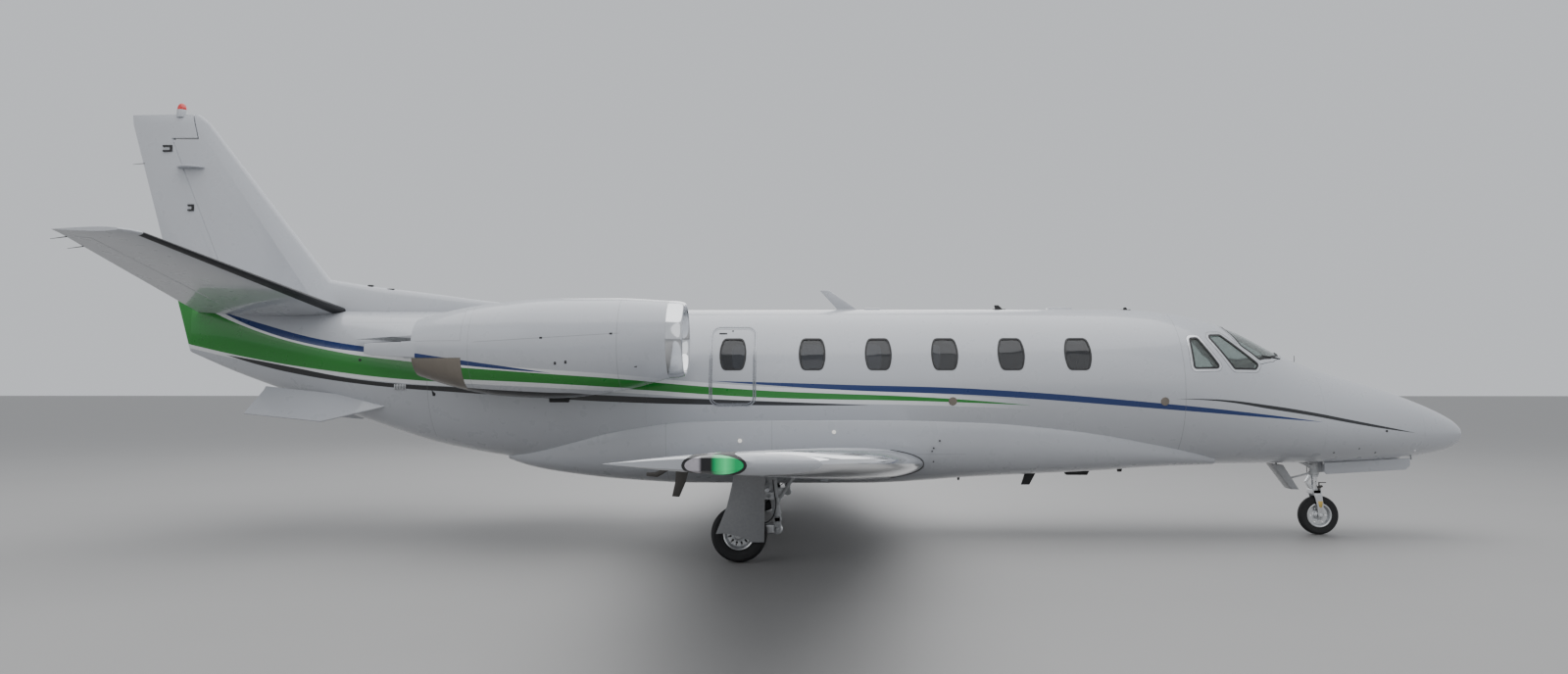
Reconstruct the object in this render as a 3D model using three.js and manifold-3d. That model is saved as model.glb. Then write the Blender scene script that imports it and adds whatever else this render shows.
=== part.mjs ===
// A twin-engined business jet, parked on its gear: fuselage, wings, tail, engines, cabin and landing gear.
// Units are millimetres. +X is forward, +Y is to the left wing tip, +Z is up, and the ground is z = 0.
// Places along the fuselage are stations, measured aft from the tip of the nose.

import * as THREE from "three";
import { mergeVertices } from "three/addons/utils/BufferGeometryUtils.js";
import Module from "manifold-3d";

const wasm = await Module();
wasm.setup();

// Overall size
const length = 16000;
const span = 17170;
const wheelbase = 6680;
const track = 4540;
const seat = 0.35; // gap left between fixed pieces that touch
const moving = 8; // gap left round a piece that moves

const noseX = length / 2;
const X = (station) => noseX - station;
const sides = [
  { name: "right", sign: -1 },
  { name: "left", sign: 1 },
];

// Finishes
const finish = (color, roughness, metalness) => ({ color, roughness, metalness });
const finishes = {
  paint: finish(0xdfe2e6, 0.25, 0.0),
  polished: finish(0xc8ccd0, 0.12, 1.0),
  bare: finish(0x9a948c, 0.3, 1.0),
  glass: finish(0x3a4450, 0.05, 0.0),
  tyre: finish(0x17181a, 0.85, 0.0),
  wheel: finish(0xc4c6c9, 0.4, 0.6),
  steel: finish(0x8a8c90, 0.4, 0.8),
  leather: finish(0xb9a88c, 0.7, 0.0),
  trim: finish(0x4a4642, 0.8, 0.0),
  titanium: finish(0x6c6a68, 0.35, 0.9),
  lamp: finish(0xc01818, 0.2, 0.0),
};

const jet = new THREE.Group();

function addPiece(name, solid, finishName) {
  const look = finishes[finishName];
  const mesh = new THREE.Mesh(geometryOf(solid), new THREE.MeshStandardMaterial(look));
  mesh.name = name;
  jet.add(mesh);
}

// Solids and meshes

function solidOf(geometry) {
  const bare = geometry.clone();
  bare.deleteAttribute("normal");
  bare.deleteAttribute("uv");
  const merged = mergeVertices(bare, 1e-3);
  const vertProperties = new Float32Array(merged.attributes.position.array);
  const triVerts = new Uint32Array(merged.index.array);
  const made = new wasm.Manifold(new wasm.Mesh({ numProp: 3, vertProperties, triVerts }));
  if (made.volume() > 0) return made;
  for (let i = 0; i < triVerts.length; i += 3) {
    [triVerts[i + 1], triVerts[i + 2]] = [triVerts[i + 2], triVerts[i + 1]];
  }
  return new wasm.Manifold(new wasm.Mesh({ numProp: 3, vertProperties, triVerts }));
}

function geometryOf(solid) {
  const mesh = solid.getMesh();
  const positions = new Float32Array(mesh.numVert * 3);
  for (let i = 0; i < mesh.numVert; i++) {
    const from = i * mesh.numProp;
    positions.set(mesh.vertProperties.subarray(from, from + 3), i * 3);
  }
  const geometry = new THREE.BufferGeometry();
  geometry.setAttribute("position", new THREE.BufferAttribute(positions, 3));
  geometry.setIndex(new THREE.BufferAttribute(new Uint32Array(mesh.triVerts), 1));
  geometry.computeVertexNormals();
  return geometry;
}

const joined = (...solids) => solids.reduce((all, next) => all.add(next));
const without = (solid, ...cutters) => cutters.reduce((left, cutter) => left.subtract(cutter), solid);

// A closed skin through rings of equal count, each a list of [x, y, z].
function loft(rings) {
  const count = rings[0].length;
  const positions = rings.flat(2);
  const index = [];
  for (let r = 0; r + 1 < rings.length; r++) {
    for (let i = 0; i < count; i++) {
      const a = r * count + i;
      const b = r * count + ((i + 1) % count);
      index.push(a, b, a + count, b, b + count, a + count);
    }
  }
  const last = (rings.length - 1) * count;
  for (let i = 1; i + 1 < count; i++) {
    index.push(0, i + 1, i);
    index.push(last, last + i, last + i + 1);
  }
  const geometry = new THREE.BufferGeometry();
  geometry.setAttribute("position", new THREE.BufferAttribute(new Float32Array(positions), 3));
  geometry.setIndex(index);
  return solidOf(geometry);
}

// A box between two stations, two sideways places and two heights.
function block(stations, ys, zs) {
  const box = new THREE.BoxGeometry(stations[1] - stations[0], ys[1] - ys[0], zs[1] - zs[0]);
  box.translate(X((stations[0] + stations[1]) / 2), (ys[0] + ys[1]) / 2, (zs[0] + zs[1]) / 2);
  return solidOf(box);
}

// A round bar or cone from one [station, y, z] to another.
function bar(from, to, radius, endRadius = radius, count = 10) {
  const a = new THREE.Vector3(X(from[0]), from[1], from[2]);
  const b = new THREE.Vector3(X(to[0]), to[1], to[2]);
  const along = b.clone().sub(a);
  const geometry = new THREE.CylinderGeometry(endRadius, radius, along.length(), count);
  const up = new THREE.Vector3(0, 1, 0);
  geometry.applyQuaternion(new THREE.Quaternion().setFromUnitVectors(up, along.normalize()));
  geometry.translate((a.x + b.x) / 2, (a.y + b.y) / 2, (a.z + b.z) / 2);
  return solidOf(geometry);
}

function extruded(outline, depth) {
  const shape = new THREE.Shape(outline.map(([u, v]) => new THREE.Vector2(u, v)));
  return new THREE.ExtrudeGeometry(shape, { depth, bevelEnabled: false });
}

// An outline of [station, z] pushed sideways from y0 to y1.
function sidePrism(outline, y0, y1) {
  const geometry = extruded(outline.map(([station, z]) => [X(station), z]), y1 - y0);
  geometry.rotateX(Math.PI / 2);
  geometry.translate(0, y1, 0);
  return solidOf(geometry);
}

// An outline of [station, y] pushed up from z0 to z1.
function planPrism(outline, z0, z1) {
  const geometry = extruded(outline.map(([station, y]) => [X(station), y]), z1 - z0);
  geometry.translate(0, 0, z0);
  return solidOf(geometry);
}

// An outline of [y, z] pushed aft from one station to another.
function frontPrism(outline, station0, station1) {
  const geometry = extruded(outline, station1 - station0);
  geometry.rotateX(Math.PI / 2);
  geometry.rotateZ(Math.PI / 2);
  geometry.translate(X(station1), 0, 0);
  return solidOf(geometry);
}

// A closed profile of [radius, offset] turned about an axis: "y" for a wheel, "x" for an engine.
function turned(profile, axis, centre, count, start = 0) {
  const points = [...profile, profile[0]].map(([r, offset]) => new THREE.Vector2(r, offset));
  const geometry = new THREE.LatheGeometry(points, count);
  geometry.rotateY(start);
  if (axis === "x") geometry.rotateZ(-Math.PI / 2);
  geometry.translate(X(centre[0]), centre[1], centre[2]);
  return solidOf(geometry);
}

function roundedOutline(width, height, radius, lowRadius = radius, steps = 2) {
  const outline = [];
  const corners = [[1, 1, radius], [-1, 1, radius], [-1, -1, lowRadius], [1, -1, lowRadius]];
  corners.forEach(([cx, cy, round], quarter) => {
    for (let i = 0; i <= steps; i++) {
      const turn = (quarter + i / steps) * (Math.PI / 2);
      outline.push([
        cx * (width / 2 - round) + round * Math.cos(turn),
        cy * (height / 2 - round) + round * Math.sin(turn),
      ]);
    }
  });
  return outline;
}

// The outline grown outwards from its own middle by a distance along each axis.
function grownOutline(outline, by) {
  const us = outline.map((p) => p[0]);
  const vs = outline.map((p) => p[1]);
  const middle = [us, vs].map((list) => (Math.max(...list) + Math.min(...list)) / 2);
  const half = [us, vs].map((list) => (Math.max(...list) - Math.min(...list)) / 2);
  return outline.map((p) => [0, 1].map((k) => middle[k] + (p[k] - middle[k]) * (1 + by / half[k])));
}

// Fuselage skin
// Columns: station, top, bottom, half width, height of the widest place.
const fuselageTable = [
  [0, 1195, 1165, 15, 1180],
  [60, 1325, 1062, 130, 1185],
  [250, 1487, 985, 250, 1190],
  [550, 1650, 928, 365, 1200],
  [1000, 1815, 882, 500, 1215],
  [1450, 1903, 858, 612, 1240],
  [1860, 1965, 845, 702, 1280],
  [2240, 2170, 840, 772, 1360],
  [2640, 2385, 835, 832, 1470],
  [3120, 2550, 828, 884, 1600],
  [3700, 2642, 812, 918, 1700],
  [4200, 2660, 800, 930, 1730],
  [9500, 2660, 800, 930, 1730],
  [10200, 2660, 812, 915, 1745],
  [11000, 2655, 875, 860, 1800],
  [12000, 2650, 1040, 720, 1900],
  [13000, 2660, 1345, 525, 2040],
  [14000, 2690, 1690, 330, 2230],
  [14700, 2715, 1945, 170, 2380],
  [15200, 2730, 2160, 28, 2450],
];
const ringCount = 28;

// A smooth curve through one column of a table whose first column is the station; it never overshoots.
function smoothColumn(table, column, station) {
  const last = table.length - 2;
  let k = table.findIndex((row, i) => i <= last && station <= table[i + 1][0]);
  if (k < 0) k = last;
  const slope = (i) => (table[i + 1][column] - table[i][column]) / (table[i + 1][0] - table[i][0]);
  const tangent = (i) => {
    if (i === 0) return slope(0);
    if (i === table.length - 1) return slope(i - 1);
    const before = slope(i - 1);
    const after = slope(i);
    return before * after <= 0 ? 0 : (2 * before * after) / (before + after);
  };
  const width = table[k + 1][0] - table[k][0];
  const t = (station - table[k][0]) / width;
  const a = table[k][column];
  const b = table[k + 1][column];
  return (
    a * (1 + 2 * t) * (1 - t) ** 2 +
    b * t * t * (3 - 2 * t) +
    width * (tangent(k) * t * (1 - t) ** 2 - tangent(k + 1) * t * t * (1 - t))
  );
}

// The skin's ring at a station, drawn in by an inset.
function fuselageRing(station, inset) {
  const [top, bottom, half, wide] = [1, 2, 3, 4].map((c) => smoothColumn(fuselageTable, c, station));
  const ring = [];
  for (let i = 0; i < ringCount; i++) {
    const turn = ((i + 0.5) / ringCount) * 2 * Math.PI;
    const height = Math.sin(turn) > 0 ? top - wide : wide - bottom;
    ring.push([
      X(station),
      (half - inset) * Math.cos(turn),
      wide + (height - inset) * Math.sin(turn),
    ]);
  }
  return ring;
}

const fuselageLoft = (stations, inset) => loft(stations.map((station) => fuselageRing(station, inset)));

const radomeEnd = 600;
const cockpitFront = 1850;
const cabinEnd = 9500;
const tailEnd = 15200;
const radomeStations = [0, 60, 250, radomeEnd];
const noseStations = [radomeEnd, 1000, 1450, cockpitFront];
const cabinStations = [cockpitFront, 2240, 2640, 3120, 3700, 4200, cabinEnd];
const tailStations = [cabinEnd, 10200, 11000, 12000, 13000, 14000, 14700, tailEnd];
const wall = 60; // cabin wall, skin to trim

const seated = (stations) => stations.map((s, i) => (i === 0 ? s + seat : s));
const outerSkin = fuselageLoft([...radomeStations, ...noseStations.slice(1), ...cabinStations.slice(1),
  ...tailStations.slice(1)], -seat);

// Where the belly, wings and tail stand, for what is cut to fit them

// Columns: station, top edge, bottom, of the fairing under the wing.
const fairingTable = [
  [3450, 900, 815],
  [3900, 932, 772],
  [4230, 958, 742],
  [4550, 1150, 720],
  [5000, 1262, 692],
  [5700, 1325, 664],
  [9000, 1320, 660],
  [9800, 1230, 662],
  [10400, 1080, 700],
  [10900, 960, 775],
  [11250, 915, 870],
];
const fairingStations = [3450, 3900, 4230, 4550, 5000, 5700, 9000, 9800, 10400, 10900, 11250];
const fairingLip = 14; // how far the fairing stands off the skin at its edge

function fairingRing(station) {
  const top = smoothColumn(fairingTable, 1, station);
  const bottom = smoothColumn(fairingTable, 2, station);
  const wide = smoothColumn(fuselageTable, 4, station);
  const low = smoothColumn(fuselageTable, 2, station);
  const half = smoothColumn(fuselageTable, 3, station);
  const reach = half * Math.sqrt(1 - ((wide - top) / (wide - low)) ** 2) + fairingLip;
  const count = 14;
  const ring = [];
  for (let i = 0; i <= count; i++) {
    const turn = (i / count) * Math.PI;
    const squared = (value) => Math.sign(value) * Math.abs(value) ** (2 / 2.9);
    ring.push([X(station), reach * squared(Math.cos(turn)), top - (top - bottom) * squared(Math.sin(turn))]);
  }
  return ring;
}

// Share of the chord, and half thickness as a share of the full thickness, of a smooth aerofoil.
const chordShares = [1, 0.8, 0.6, 0.4, 0.2, 0.08, 0.02, 0];
const halfThickness = (x) =>
  5 * (0.2969 * Math.sqrt(x) - 0.126 * x - 0.3516 * x ** 2 + 0.2843 * x ** 3 - 0.1015 * x ** 4);

// A flying surface through sections {station, y, z, chord, thickness}; its thickness lies along z or y.
function aerofoilLoft(sections, thickAlong, grow = 0) {
  return loft(
    sections.map(({ station, y, z, chord, thickness }) => {
      const place = (share, way) => {
        const out = way * (halfThickness(share) * thickness + grow);
        const at = station - grow + share * (chord + 2 * grow);
        return thickAlong === "z" ? [X(at), y, z + out] : [X(at), y + out, z];
      };
      const over = chordShares.map((share) => place(share, 1));
      const under = chordShares.slice(0, -1).reverse().map((share) => place(share, -1));
      if (grow === 0) return [...over, ...under];
      return [...over.slice(0, -1), place(0, 0.5), place(0, -0.5), ...under];
    }),
  );
}

// A piece hinged along its front edge: the part of a surface aft of the line, with a round nose.
// from and to are [station, y, z], and the end faces stand square to the line, so it turns in place.
function hingedPiece(surface, from, to, radii, thickAlong, depth) {
  const a = new THREE.Vector3(X(from[0]), from[1], from[2]);
  const b = new THREE.Vector3(X(to[0]), to[1], to[2]);
  const along = b.clone().sub(a);
  const reach = along.length();
  along.normalize();
  const normal = thickAlong === "z" ? new THREE.Vector3(0, 0, 1) : new THREE.Vector3(0, 1, 0);
  const aft = new THREE.Vector3().crossVectors(along, normal).normalize();
  if (aft.x > 0) aft.negate();
  const up = new THREE.Vector3().crossVectors(aft, along).normalize();
  const turnTo = new THREE.Matrix4().makeBasis(along, aft, up);
  const region = (gap) => {
    const box = new THREE.BoxGeometry(reach + 2 * gap, depth, 900);
    box.translate(reach / 2, depth / 2, 0);
    box.applyMatrix4(turnTo);
    box.translate(a.x, a.y, a.z);
    const stretch = along.clone().multiplyScalar(gap);
    const start = a.clone().sub(stretch);
    const end = b.clone().add(stretch);
    const nose = bar(
      [noseX - start.x, start.y, start.z],
      [noseX - end.x, end.y, end.z],
      radii[0] + gap,
      radii[1] + gap,
      12,
    );
    return [solidOf(box), nose];
  };
  const [box, nose] = region(0);
  const [wideBox, wideNose] = region(moving);
  return { piece: joined(surface.intersect(box), nose), clearance: joined(wideBox, wideNose) };
}

// The pin that a hinged piece turns on, out past both of its ends, and the hole that it turns in.
const pinRadius = 12;
function hingePin(from, to, radius = pinRadius, reach = 26) {
  const length = Math.hypot(...to.map((v, k) => v - from[k]));
  const stretched = (by) => [
    from.map((v, k) => v - ((to[k] - v) * by) / length),
    to.map((v, k) => v + ((v - from[k]) * by) / length),
  ];
  const [pinFrom, pinTo] = stretched(reach);
  const [holeFrom, holeTo] = stretched(reach + 4);
  return { pin: bar(pinFrom, pinTo, radius, radius, 16), hole: bar(holeFrom, holeTo, radius + 0.6, radius + 0.6, 16) };
}

const mix = (a, b, t) => a + (b - a) * t;

// The point on a surface's hinge line at a place along its span, and its nose radius there.
function hingeAt(sections, key, place, share) {
  const [root, tip] = sections;
  const t = (place - root[key]) / (tip[key] - root[key]);
  const at = (name) => mix(root[name], tip[name], t);
  return {
    point: [at("station") + share * at("chord"), at("y"), at("z")],
    radius: halfThickness(share) * at("thickness"),
  };
}

// Wings
const wingRoot = { station: 6370, z: 872, chord: 2930, thickness: 362, y: 800 };
const wingInnerY = 300; // the root section carries on level to here, under the fuselage
const wingTip = { station: 7450, z: 1385, chord: 1085, thickness: 118, y: 8330 };
const wingEnd = { station: 7830, z: 1398, chord: 705, thickness: 62, y: span / 2 };
const leadingEdgeDepth = 300;
const flapSpan = [1020, 4960];
const aileronSpan = [5060, 7900];
const flapShare = 0.72;
const aileronShare = 0.74;
const controlDepth = 1500;

const atSide = (section, sign) => ({ ...section, y: section.y * sign });

function wingSolid(sign, grow) {
  const middle = { station: 7560, z: 1393, chord: 975, thickness: 98, y: 8500 };
  const inner = { ...wingRoot, y: wingInnerY };
  return aerofoilLoft([inner, wingRoot, wingTip, middle, wingEnd].map((s) => atSide(s, sign)), "z", grow);
}

const jackPad = { station: 7500, y: 1600, face: 742 };
const flapRoom = {};

function buildWing({ name, sign }) {
  const whole = wingSolid(sign, 0);
  const sections = [wingRoot, wingTip].map((s) => atSide(s, sign));
  const pieces = [
    { label: "flap", ys: flapSpan, share: flapShare },
    { label: "aileron", ys: aileronSpan, share: aileronShare },
  ];
  let wing = whole;
  for (const { label, ys, share } of pieces) {
    const [inner, outer] = ys.map((y) => hingeAt(sections, "y", y * sign, share));
    const radii = [inner.radius, outer.radius];
    const made = hingedPiece(whole, inner.point, outer.point, radii, "z", controlDepth);
    const { pin, hole } = hingePin(inner.point, outer.point);
    wing = without(wing, made.clearance, hole);
    addPiece(`${label}_${name}`, joined(made.piece, pin), "paint");
    if (label === "flap") flapRoom[name] = made.clearance;
  }
  const edgeRoot = wingRoot.station + leadingEdgeDepth;
  const edgeTip = wingTip.station + leadingEdgeDepth;
  const nearY = 950 * sign;
  const tipY = wingTip.y * sign;
  const farY = (wingEnd.y + 50) * sign;
  const ahead = 2500;
  const strip = (gap) =>
    planPrism(
      [
        [edgeRoot - gap, nearY + gap * sign],
        [edgeTip - gap, tipY],
        [wingEnd.station + 20 - gap, farY],
        [wingEnd.station - ahead, farY],
        [edgeRoot - ahead, nearY + gap * sign],
      ],
      300,
      2000,
    );
  addPiece(`leading_edge_${name}`, whole.intersect(strip(seat)), "polished");
  const padYs = [jackPad.y * sign - 40, jackPad.y * sign + 40];
  const pad = block([jackPad.station - 40, jackPad.station + 40], padYs, [jackPad.face, jackPad.face + 120]);
  addPiece(`wing_${name}`, largest(joined(without(wing, strip(0), outerSkin), pad)), "paint");
}

// Tail
const finRoot = { station: 13180, y: 0, z: 2640, chord: 2165, thickness: 215 };
const finTip = { station: 15015, y: 0, z: 4960, chord: 975, thickness: 92 };
const finCap = { station: 15170, y: 0, z: 5085, chord: 830, thickness: 60 };
const rudderHeights = [2810, 4790];
const rudderEndGaps = [18, 24]; // its tilted hinge dips and lifts its end edges as it turns
// The rudder's balance horn reaches forward over the fin's own tip: an outline of [station, z].
const hornOutline = (ahead, below) => {
  const slope = (15290 - 15160) / (5300 - 4790);
  return [[15160 - ahead - below * slope, 4790 - below], [15290 - ahead, 5300], [16500, 5300], [16500, 4790 - below]];
};
const hornGap = 12;
const rudderShare = [0.665, 0.59];
const dorsalTable = [
  // station, ridge height, half width at the foot
  [10500, 2662, 20],
  [11540, 2775, 70],
  [12260, 2872, 100],
  [12980, 2962, 118],
  [13600, 3060, 100],
];
const beaconAt = { station: 15390, top: 5230, radius: 62 };

const stabRoot = { station: 13235, y: 0, z: 2640, chord: 1880, thickness: 188 };
const stabTip = { station: 13930, y: 3130, z: 3190, chord: 800, thickness: 78 };
const stabEnd = { station: 14080, y: 3275, z: 3210, chord: 640, thickness: 50 };
const elevatorSpan = [400, 3060];
const elevatorShare = 0.69;

const stabSolid = (sign, grow) =>
  aerofoilLoft([stabRoot, stabTip, stabEnd].map((s) => atSide(s, sign)), "z", grow);

function buildTail() {
  const halves = sides.map(({ sign }) => stabSolid(sign, seat));
  const whole = aerofoilLoft([finRoot, finTip, finCap], "y");
  const [low, high] = rudderHeights.map((z, i) => hingeAt([finRoot, finTip], "z", z, rudderShare[i]));
  const levels = (below, above) =>
    block([12000, 17000], [-600, 600], [rudderHeights[0] - below, rudderHeights[1] + above]);
  const past = 0.2; // the hinge line is carried on past both ends and then cut level
  const [down, up] = [[low, high], [high, low]].map(([near, far]) => ({
    point: near.point.map((v, k) => v + (v - far.point[k]) * past),
    radius: near.radius + (near.radius - far.radius) * past,
  }));
  const made = hingedPiece(whole, down.point, up.point, [down.radius, up.radius], "y", 1600);
  const { station, top, radius } = beaconAt;
  const seatHeight = finCap.z - 40;
  const lamp = joined(
    bar([station, 0, seatHeight], [station, 0, finCap.z + 60], radius, radius * 0.95, 16),
    bar([station, 0, finCap.z + 59], [station, 0, top], radius * 0.95, radius * 0.45, 16),
  );
  const { pin, hole } = hingePin(low.point, high.point);
  const [lowGap, highGap] = rudderEndGaps;
  const horn = sidePrism(hornOutline(0, 0), -300, 300);
  const hornRoom = sidePrism(hornOutline(hornGap, highGap), -300, 300);
  const blade = joined(made.piece.intersect(levels(0, 1)), whole.intersect(horn), lamp);
  addPiece("rudder", largest(joined(blade, pin)), "paint");
  const clearance = joined(made.clearance.intersect(levels(lowGap, 1)), hornRoom, hole);

  const dorsal = loft(
    dorsalTable.map(([station, ridge, half]) => {
      const foot = 2560;
      const ring = [[X(station), half, foot]];
      for (let i = 0; i <= 6; i++) {
        const turn = (i / 6) * Math.PI;
        ring.push([X(station), half * Math.cos(turn), mix(foot + 60, ridge, Math.sin(turn))]);
      }
      ring.push([X(station), -half, foot]);
      return ring;
    }),
  );
  const fin = without(joined(whole, dorsal), clearance, outerSkin, ...halves);
  addPiece("fin", largest(fin), "paint");

  for (const { name, sign } of sides) {
    const stab = stabSolid(sign, 0);
    const sections = [stabRoot, stabTip].map((s) => atSide(s, sign));
    const [inner, outer] = elevatorSpan.map((y) => hingeAt(sections, "y", y * sign, elevatorShare));
    const radiiHere = [inner.radius, outer.radius];
    const made = hingedPiece(stab, inner.point, outer.point, radiiHere, "z", 900);
    const { pin, hole } = hingePin(inner.point, outer.point);
    const middle = block([12500, 16500], [-seat, seat], [2000, 3500]);
    addPiece(`elevator_${name}`, joined(made.piece, pin), "paint");
    addPiece(`stabilizer_${name}`, largest(without(stab, made.clearance, hole, middle)), "paint");
  }
}

// The biggest of the bodies that a cut leaves.
function largest(solid) {
  return solid.decompose().sort((a, b) => b.volume() - a.volume())[0];
}

// A thin fin under each side of the tail, canted outwards.
const strake = { front: 12390, aft: 14150, foot: 14230, rootDrop: 1490, thickness: 22, cant: 38 };

function buildStrake({ name, sign }) {
  const outline = [[strake.front, 60], [strake.aft, 60], [strake.aft, 0], [strake.foot, -360],
    [strake.front + 890, -350]];
  const depth = strake.thickness;
  const geometry = extruded(outline.map(([station, drop]) => [X(station), drop]), depth);
  geometry.rotateX(Math.PI / 2);
  geometry.translate(0, depth / 2, 0);
  const middle = X((strake.front + strake.aft) / 2);
  geometry.translate(-middle, 0, 0);
  geometry.rotateY(THREE.MathUtils.degToRad(7.5));
  geometry.rotateX(sign * THREE.MathUtils.degToRad(strake.cant));
  geometry.translate(middle, sign * 385, 1605);
  addPiece(`strake_${name}`, largest(solidOf(geometry).subtract(outerSkin)), "paint");
}

// Engines
const engineY = 1480;
const inletZ = 2245;
const lipFront = 8980;
const lipBack = 9150;
const cowlEnd = 11370;
const doorEnd = 11850;
const stangEnd = 12400;
const lipRadius = 415;
const ductRadius = 345;
const bayFront = 10080; // where the engine bay opens behind the fan
const bayRadius = 372;
const cowlWall = 40;
// Columns: station, top, bottom, half width, of the cowl's outside.
const cowlTable = [
  [lipBack, 2660, 1830, 415],
  [9700, 2690, 1690, 462],
  [10400, 2690, 1600, 478],
  [11000, 2642, 1640, 458],
  [cowlEnd, 2590, 1705, 425],
  [doorEnd, 2470, 1850, 330],
  [stangEnd, 2265, 2085, 60],
];

function cowlRing(station, sign, grow = 0) {
  const [top, bottom, half] = [1, 2, 3].map((c) => smoothColumn(cowlTable, c, station));
  const middle = (top + bottom) / 2;
  const count = 20;
  return Array.from({ length: count }, (unused, i) => {
    const turn = ((i + 0.5) / count) * 2 * Math.PI;
    return [
      X(station),
      engineY * sign + (half + grow) * Math.cos(turn),
      middle + ((top - bottom) / 2 + grow) * Math.sin(turn),
    ];
  });
}

const cowlLoft = (stations, sign, grow) => loft(stations.map((station) => cowlRing(station, sign, grow)));
const cowlStations = [lipBack + seat, 9700, bayFront, 10400, 11000, cowlEnd];
const aftStations = [cowlEnd, doorEnd, 12100, stangEnd];
const stangHalf = 62; // half height of the fixed beams at the sides of the jet pipe
const doorHinge = { station: doorEnd + 12, rise: 84 };
const pipeRadius = 262;

function buildEngine({ name, sign }) {
  const at = (station) => [station, engineY * sign, inletZ];
  const exhaustZ = 2155;
  const exhaustAt = (station) => [station, engineY * sign, exhaustZ];
  const pipeHole = bar(exhaustAt(11000), exhaustAt(stangEnd + 200), bayRadius - 60, pipeRadius + 14, 20);
  const duct = bar(at(lipBack - 10), at(bayFront + 5), ductRadius, ductRadius, 20);
  const bayStations = [bayFront, 10400, 11000, cowlEnd];
  const bay = (inset) => joined(
    cowlLoft(bayStations, sign, -inset),
    loft([cowlEnd - 1, cowlEnd + 30].map((s) => cowlRing(cowlEnd, sign, -inset).map((p) => [X(s), p[1], p[2]]))),
  );
  const aftBody = without(cowlLoft(aftStations, sign), pipeHole);
  const beams = aftBody.intersect(
    block([cowlEnd - 1, stangEnd + 1], [-3000, 3000], [exhaustZ - stangHalf, exhaustZ + stangHalf]),
  );
  const cowl = without(joined(cowlLoft(cowlStations, sign), beams), duct, bay(cowlWall));
  addPiece(`nacelle_${name}`, largest(cowl), "paint");

  const lipDepth = lipBack - lipFront;
  const lipMiddle = (ductRadius + lipRadius) / 2;
  const lipProfile = Array.from({ length: 7 }, (unused, i) => {
    const turn = (i / 6) * Math.PI;
    return [lipMiddle - (lipRadius - lipMiddle) * Math.cos(turn), lipDepth * Math.sin(turn) ** 0.8];
  });
  addPiece(`inlet_lip_${name}`, turned(lipProfile, "x", at(lipBack), 20), "polished");

  for (const [label, way, look] of [["upper", 1, "paint"], ["lower", -1, "bare"]]) {
    const edge = exhaustZ + way * (stangHalf + seat);
    const far = exhaustZ + way * 700;
    const zs = way > 0 ? [edge, far] : [far, edge];
    const half = aftBody.intersect(block([cowlEnd + seat, doorEnd], [-3000, 3000], zs));
    addPiece(`reverser_${label}_${name}`, largest(half), look);
  }

  const mount = bay(cowlWall + seat).intersect(block([10330, 10400], [-3000, 3000], [1000, 3000]));
  const body = joined(
    bar(at(bayFront + 30), exhaustAt(11150), 318, 250, 12),
    bar(at(9900), at(bayFront + 40), 37, 37, 12),
    mount,
    bar(exhaustAt(11140), exhaustAt(11780), 250, pipeRadius - 22, 14),
  );
  const bore = bar(exhaustAt(11300), exhaustAt(11800), 236, 226, 14);
  const plug = bar(exhaustAt(11290), exhaustAt(11700), 130, 20, 10);
  addPiece(`engine_${name}`, largest(joined(body.subtract(bore), plug)), "titanium");
  buildFan(name, at);
}

const bladeCount = 12;

function buildFan(name, at) {
  const hub = turned(
    [[40, -45], [120, -45], [128, 0], [112, 80], [50, 180], [0.5, 214], [0.5, 40], [40, 30]],
    "x",
    at(9930),
    12,
  );
  const blades = [];
  for (let i = 0; i < bladeCount; i++) {
    const blade = new THREE.BoxGeometry(86, 8, 226, 1, 1, 1);
    const places = blade.attributes.position;
    for (let k = 0; k < places.count; k++) {
      const twist = THREE.MathUtils.degToRad(mix(58, 28, (places.getZ(k) + 113) / 226));
      const [x, y] = [places.getX(k), places.getY(k)];
      places.setX(k, x * Math.sin(twist) - y * Math.cos(twist));
      places.setY(k, x * Math.cos(twist) + y * Math.sin(twist));
    }
    blade.translate(0, 0, 104 + 113);
    blade.rotateX((i / bladeCount) * 2 * Math.PI);
    blade.translate(X(9925), at(0)[1], at(0)[2]);
    blades.push(solidOf(blade));
  }
  addPiece(`fan_${name}`, joined(hub, ...blades), "titanium");
}

const pylonZ = 2290;

function buildPylon({ name, sign }) {
  const near = { station: 9720, y: 560 * sign, z: pylonZ, chord: 3230, thickness: 150 };
  const far = { station: 9760, y: 1240 * sign, z: pylonZ, chord: 2500, thickness: 150 };
  const arm = aerofoilLoft([near, far], "z");
  const grown = cowlLoft(cowlStations, sign, seat);
  const aft = cowlLoft(aftStations, sign, 12);
  const bayRoom = block([9000, 12600], [engineY * sign - 420, engineY * sign + 420], [1500, 2800]);
  addPiece(`pylon_${name}`, largest(without(arm, outerSkin, grown, aft, bayRoom)), "paint");
}

// Cabin windows, doors and glass
const windowSize = { width: 272, height: 344, z: 2105 };
const firstWindow = 4655;
const windowPitch = 743;
const windowStations = [0, 1, 2, 3, 4].map((i) => firstWindow + i * windowPitch).concat(8520);
const exitDoor = { station: 8520, z: 1975, width: 480, height: 870, radius: 85 };
const entryDoor = { station: 3880, z: 1675, width: 640, height: 1400, radius: 110, lowRadius: 30 };
const entryHinge = { y: 561, z: 981, radius: 9 };
const glassInset = [5, wall + 12];

function windowOutline(station, grow = 0) {
  const count = 12;
  return Array.from({ length: count }, (unused, i) => {
    const turn = (i / count) * 2 * Math.PI;
    const squared = (value) => Math.sign(value) * Math.abs(value) ** (2 / 3.1);
    return [
      station + (windowSize.width / 2 + grow) * squared(Math.cos(turn)),
      windowSize.z + (windowSize.height / 2 + grow) * squared(Math.sin(turn)),
    ];
  });
}

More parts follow.
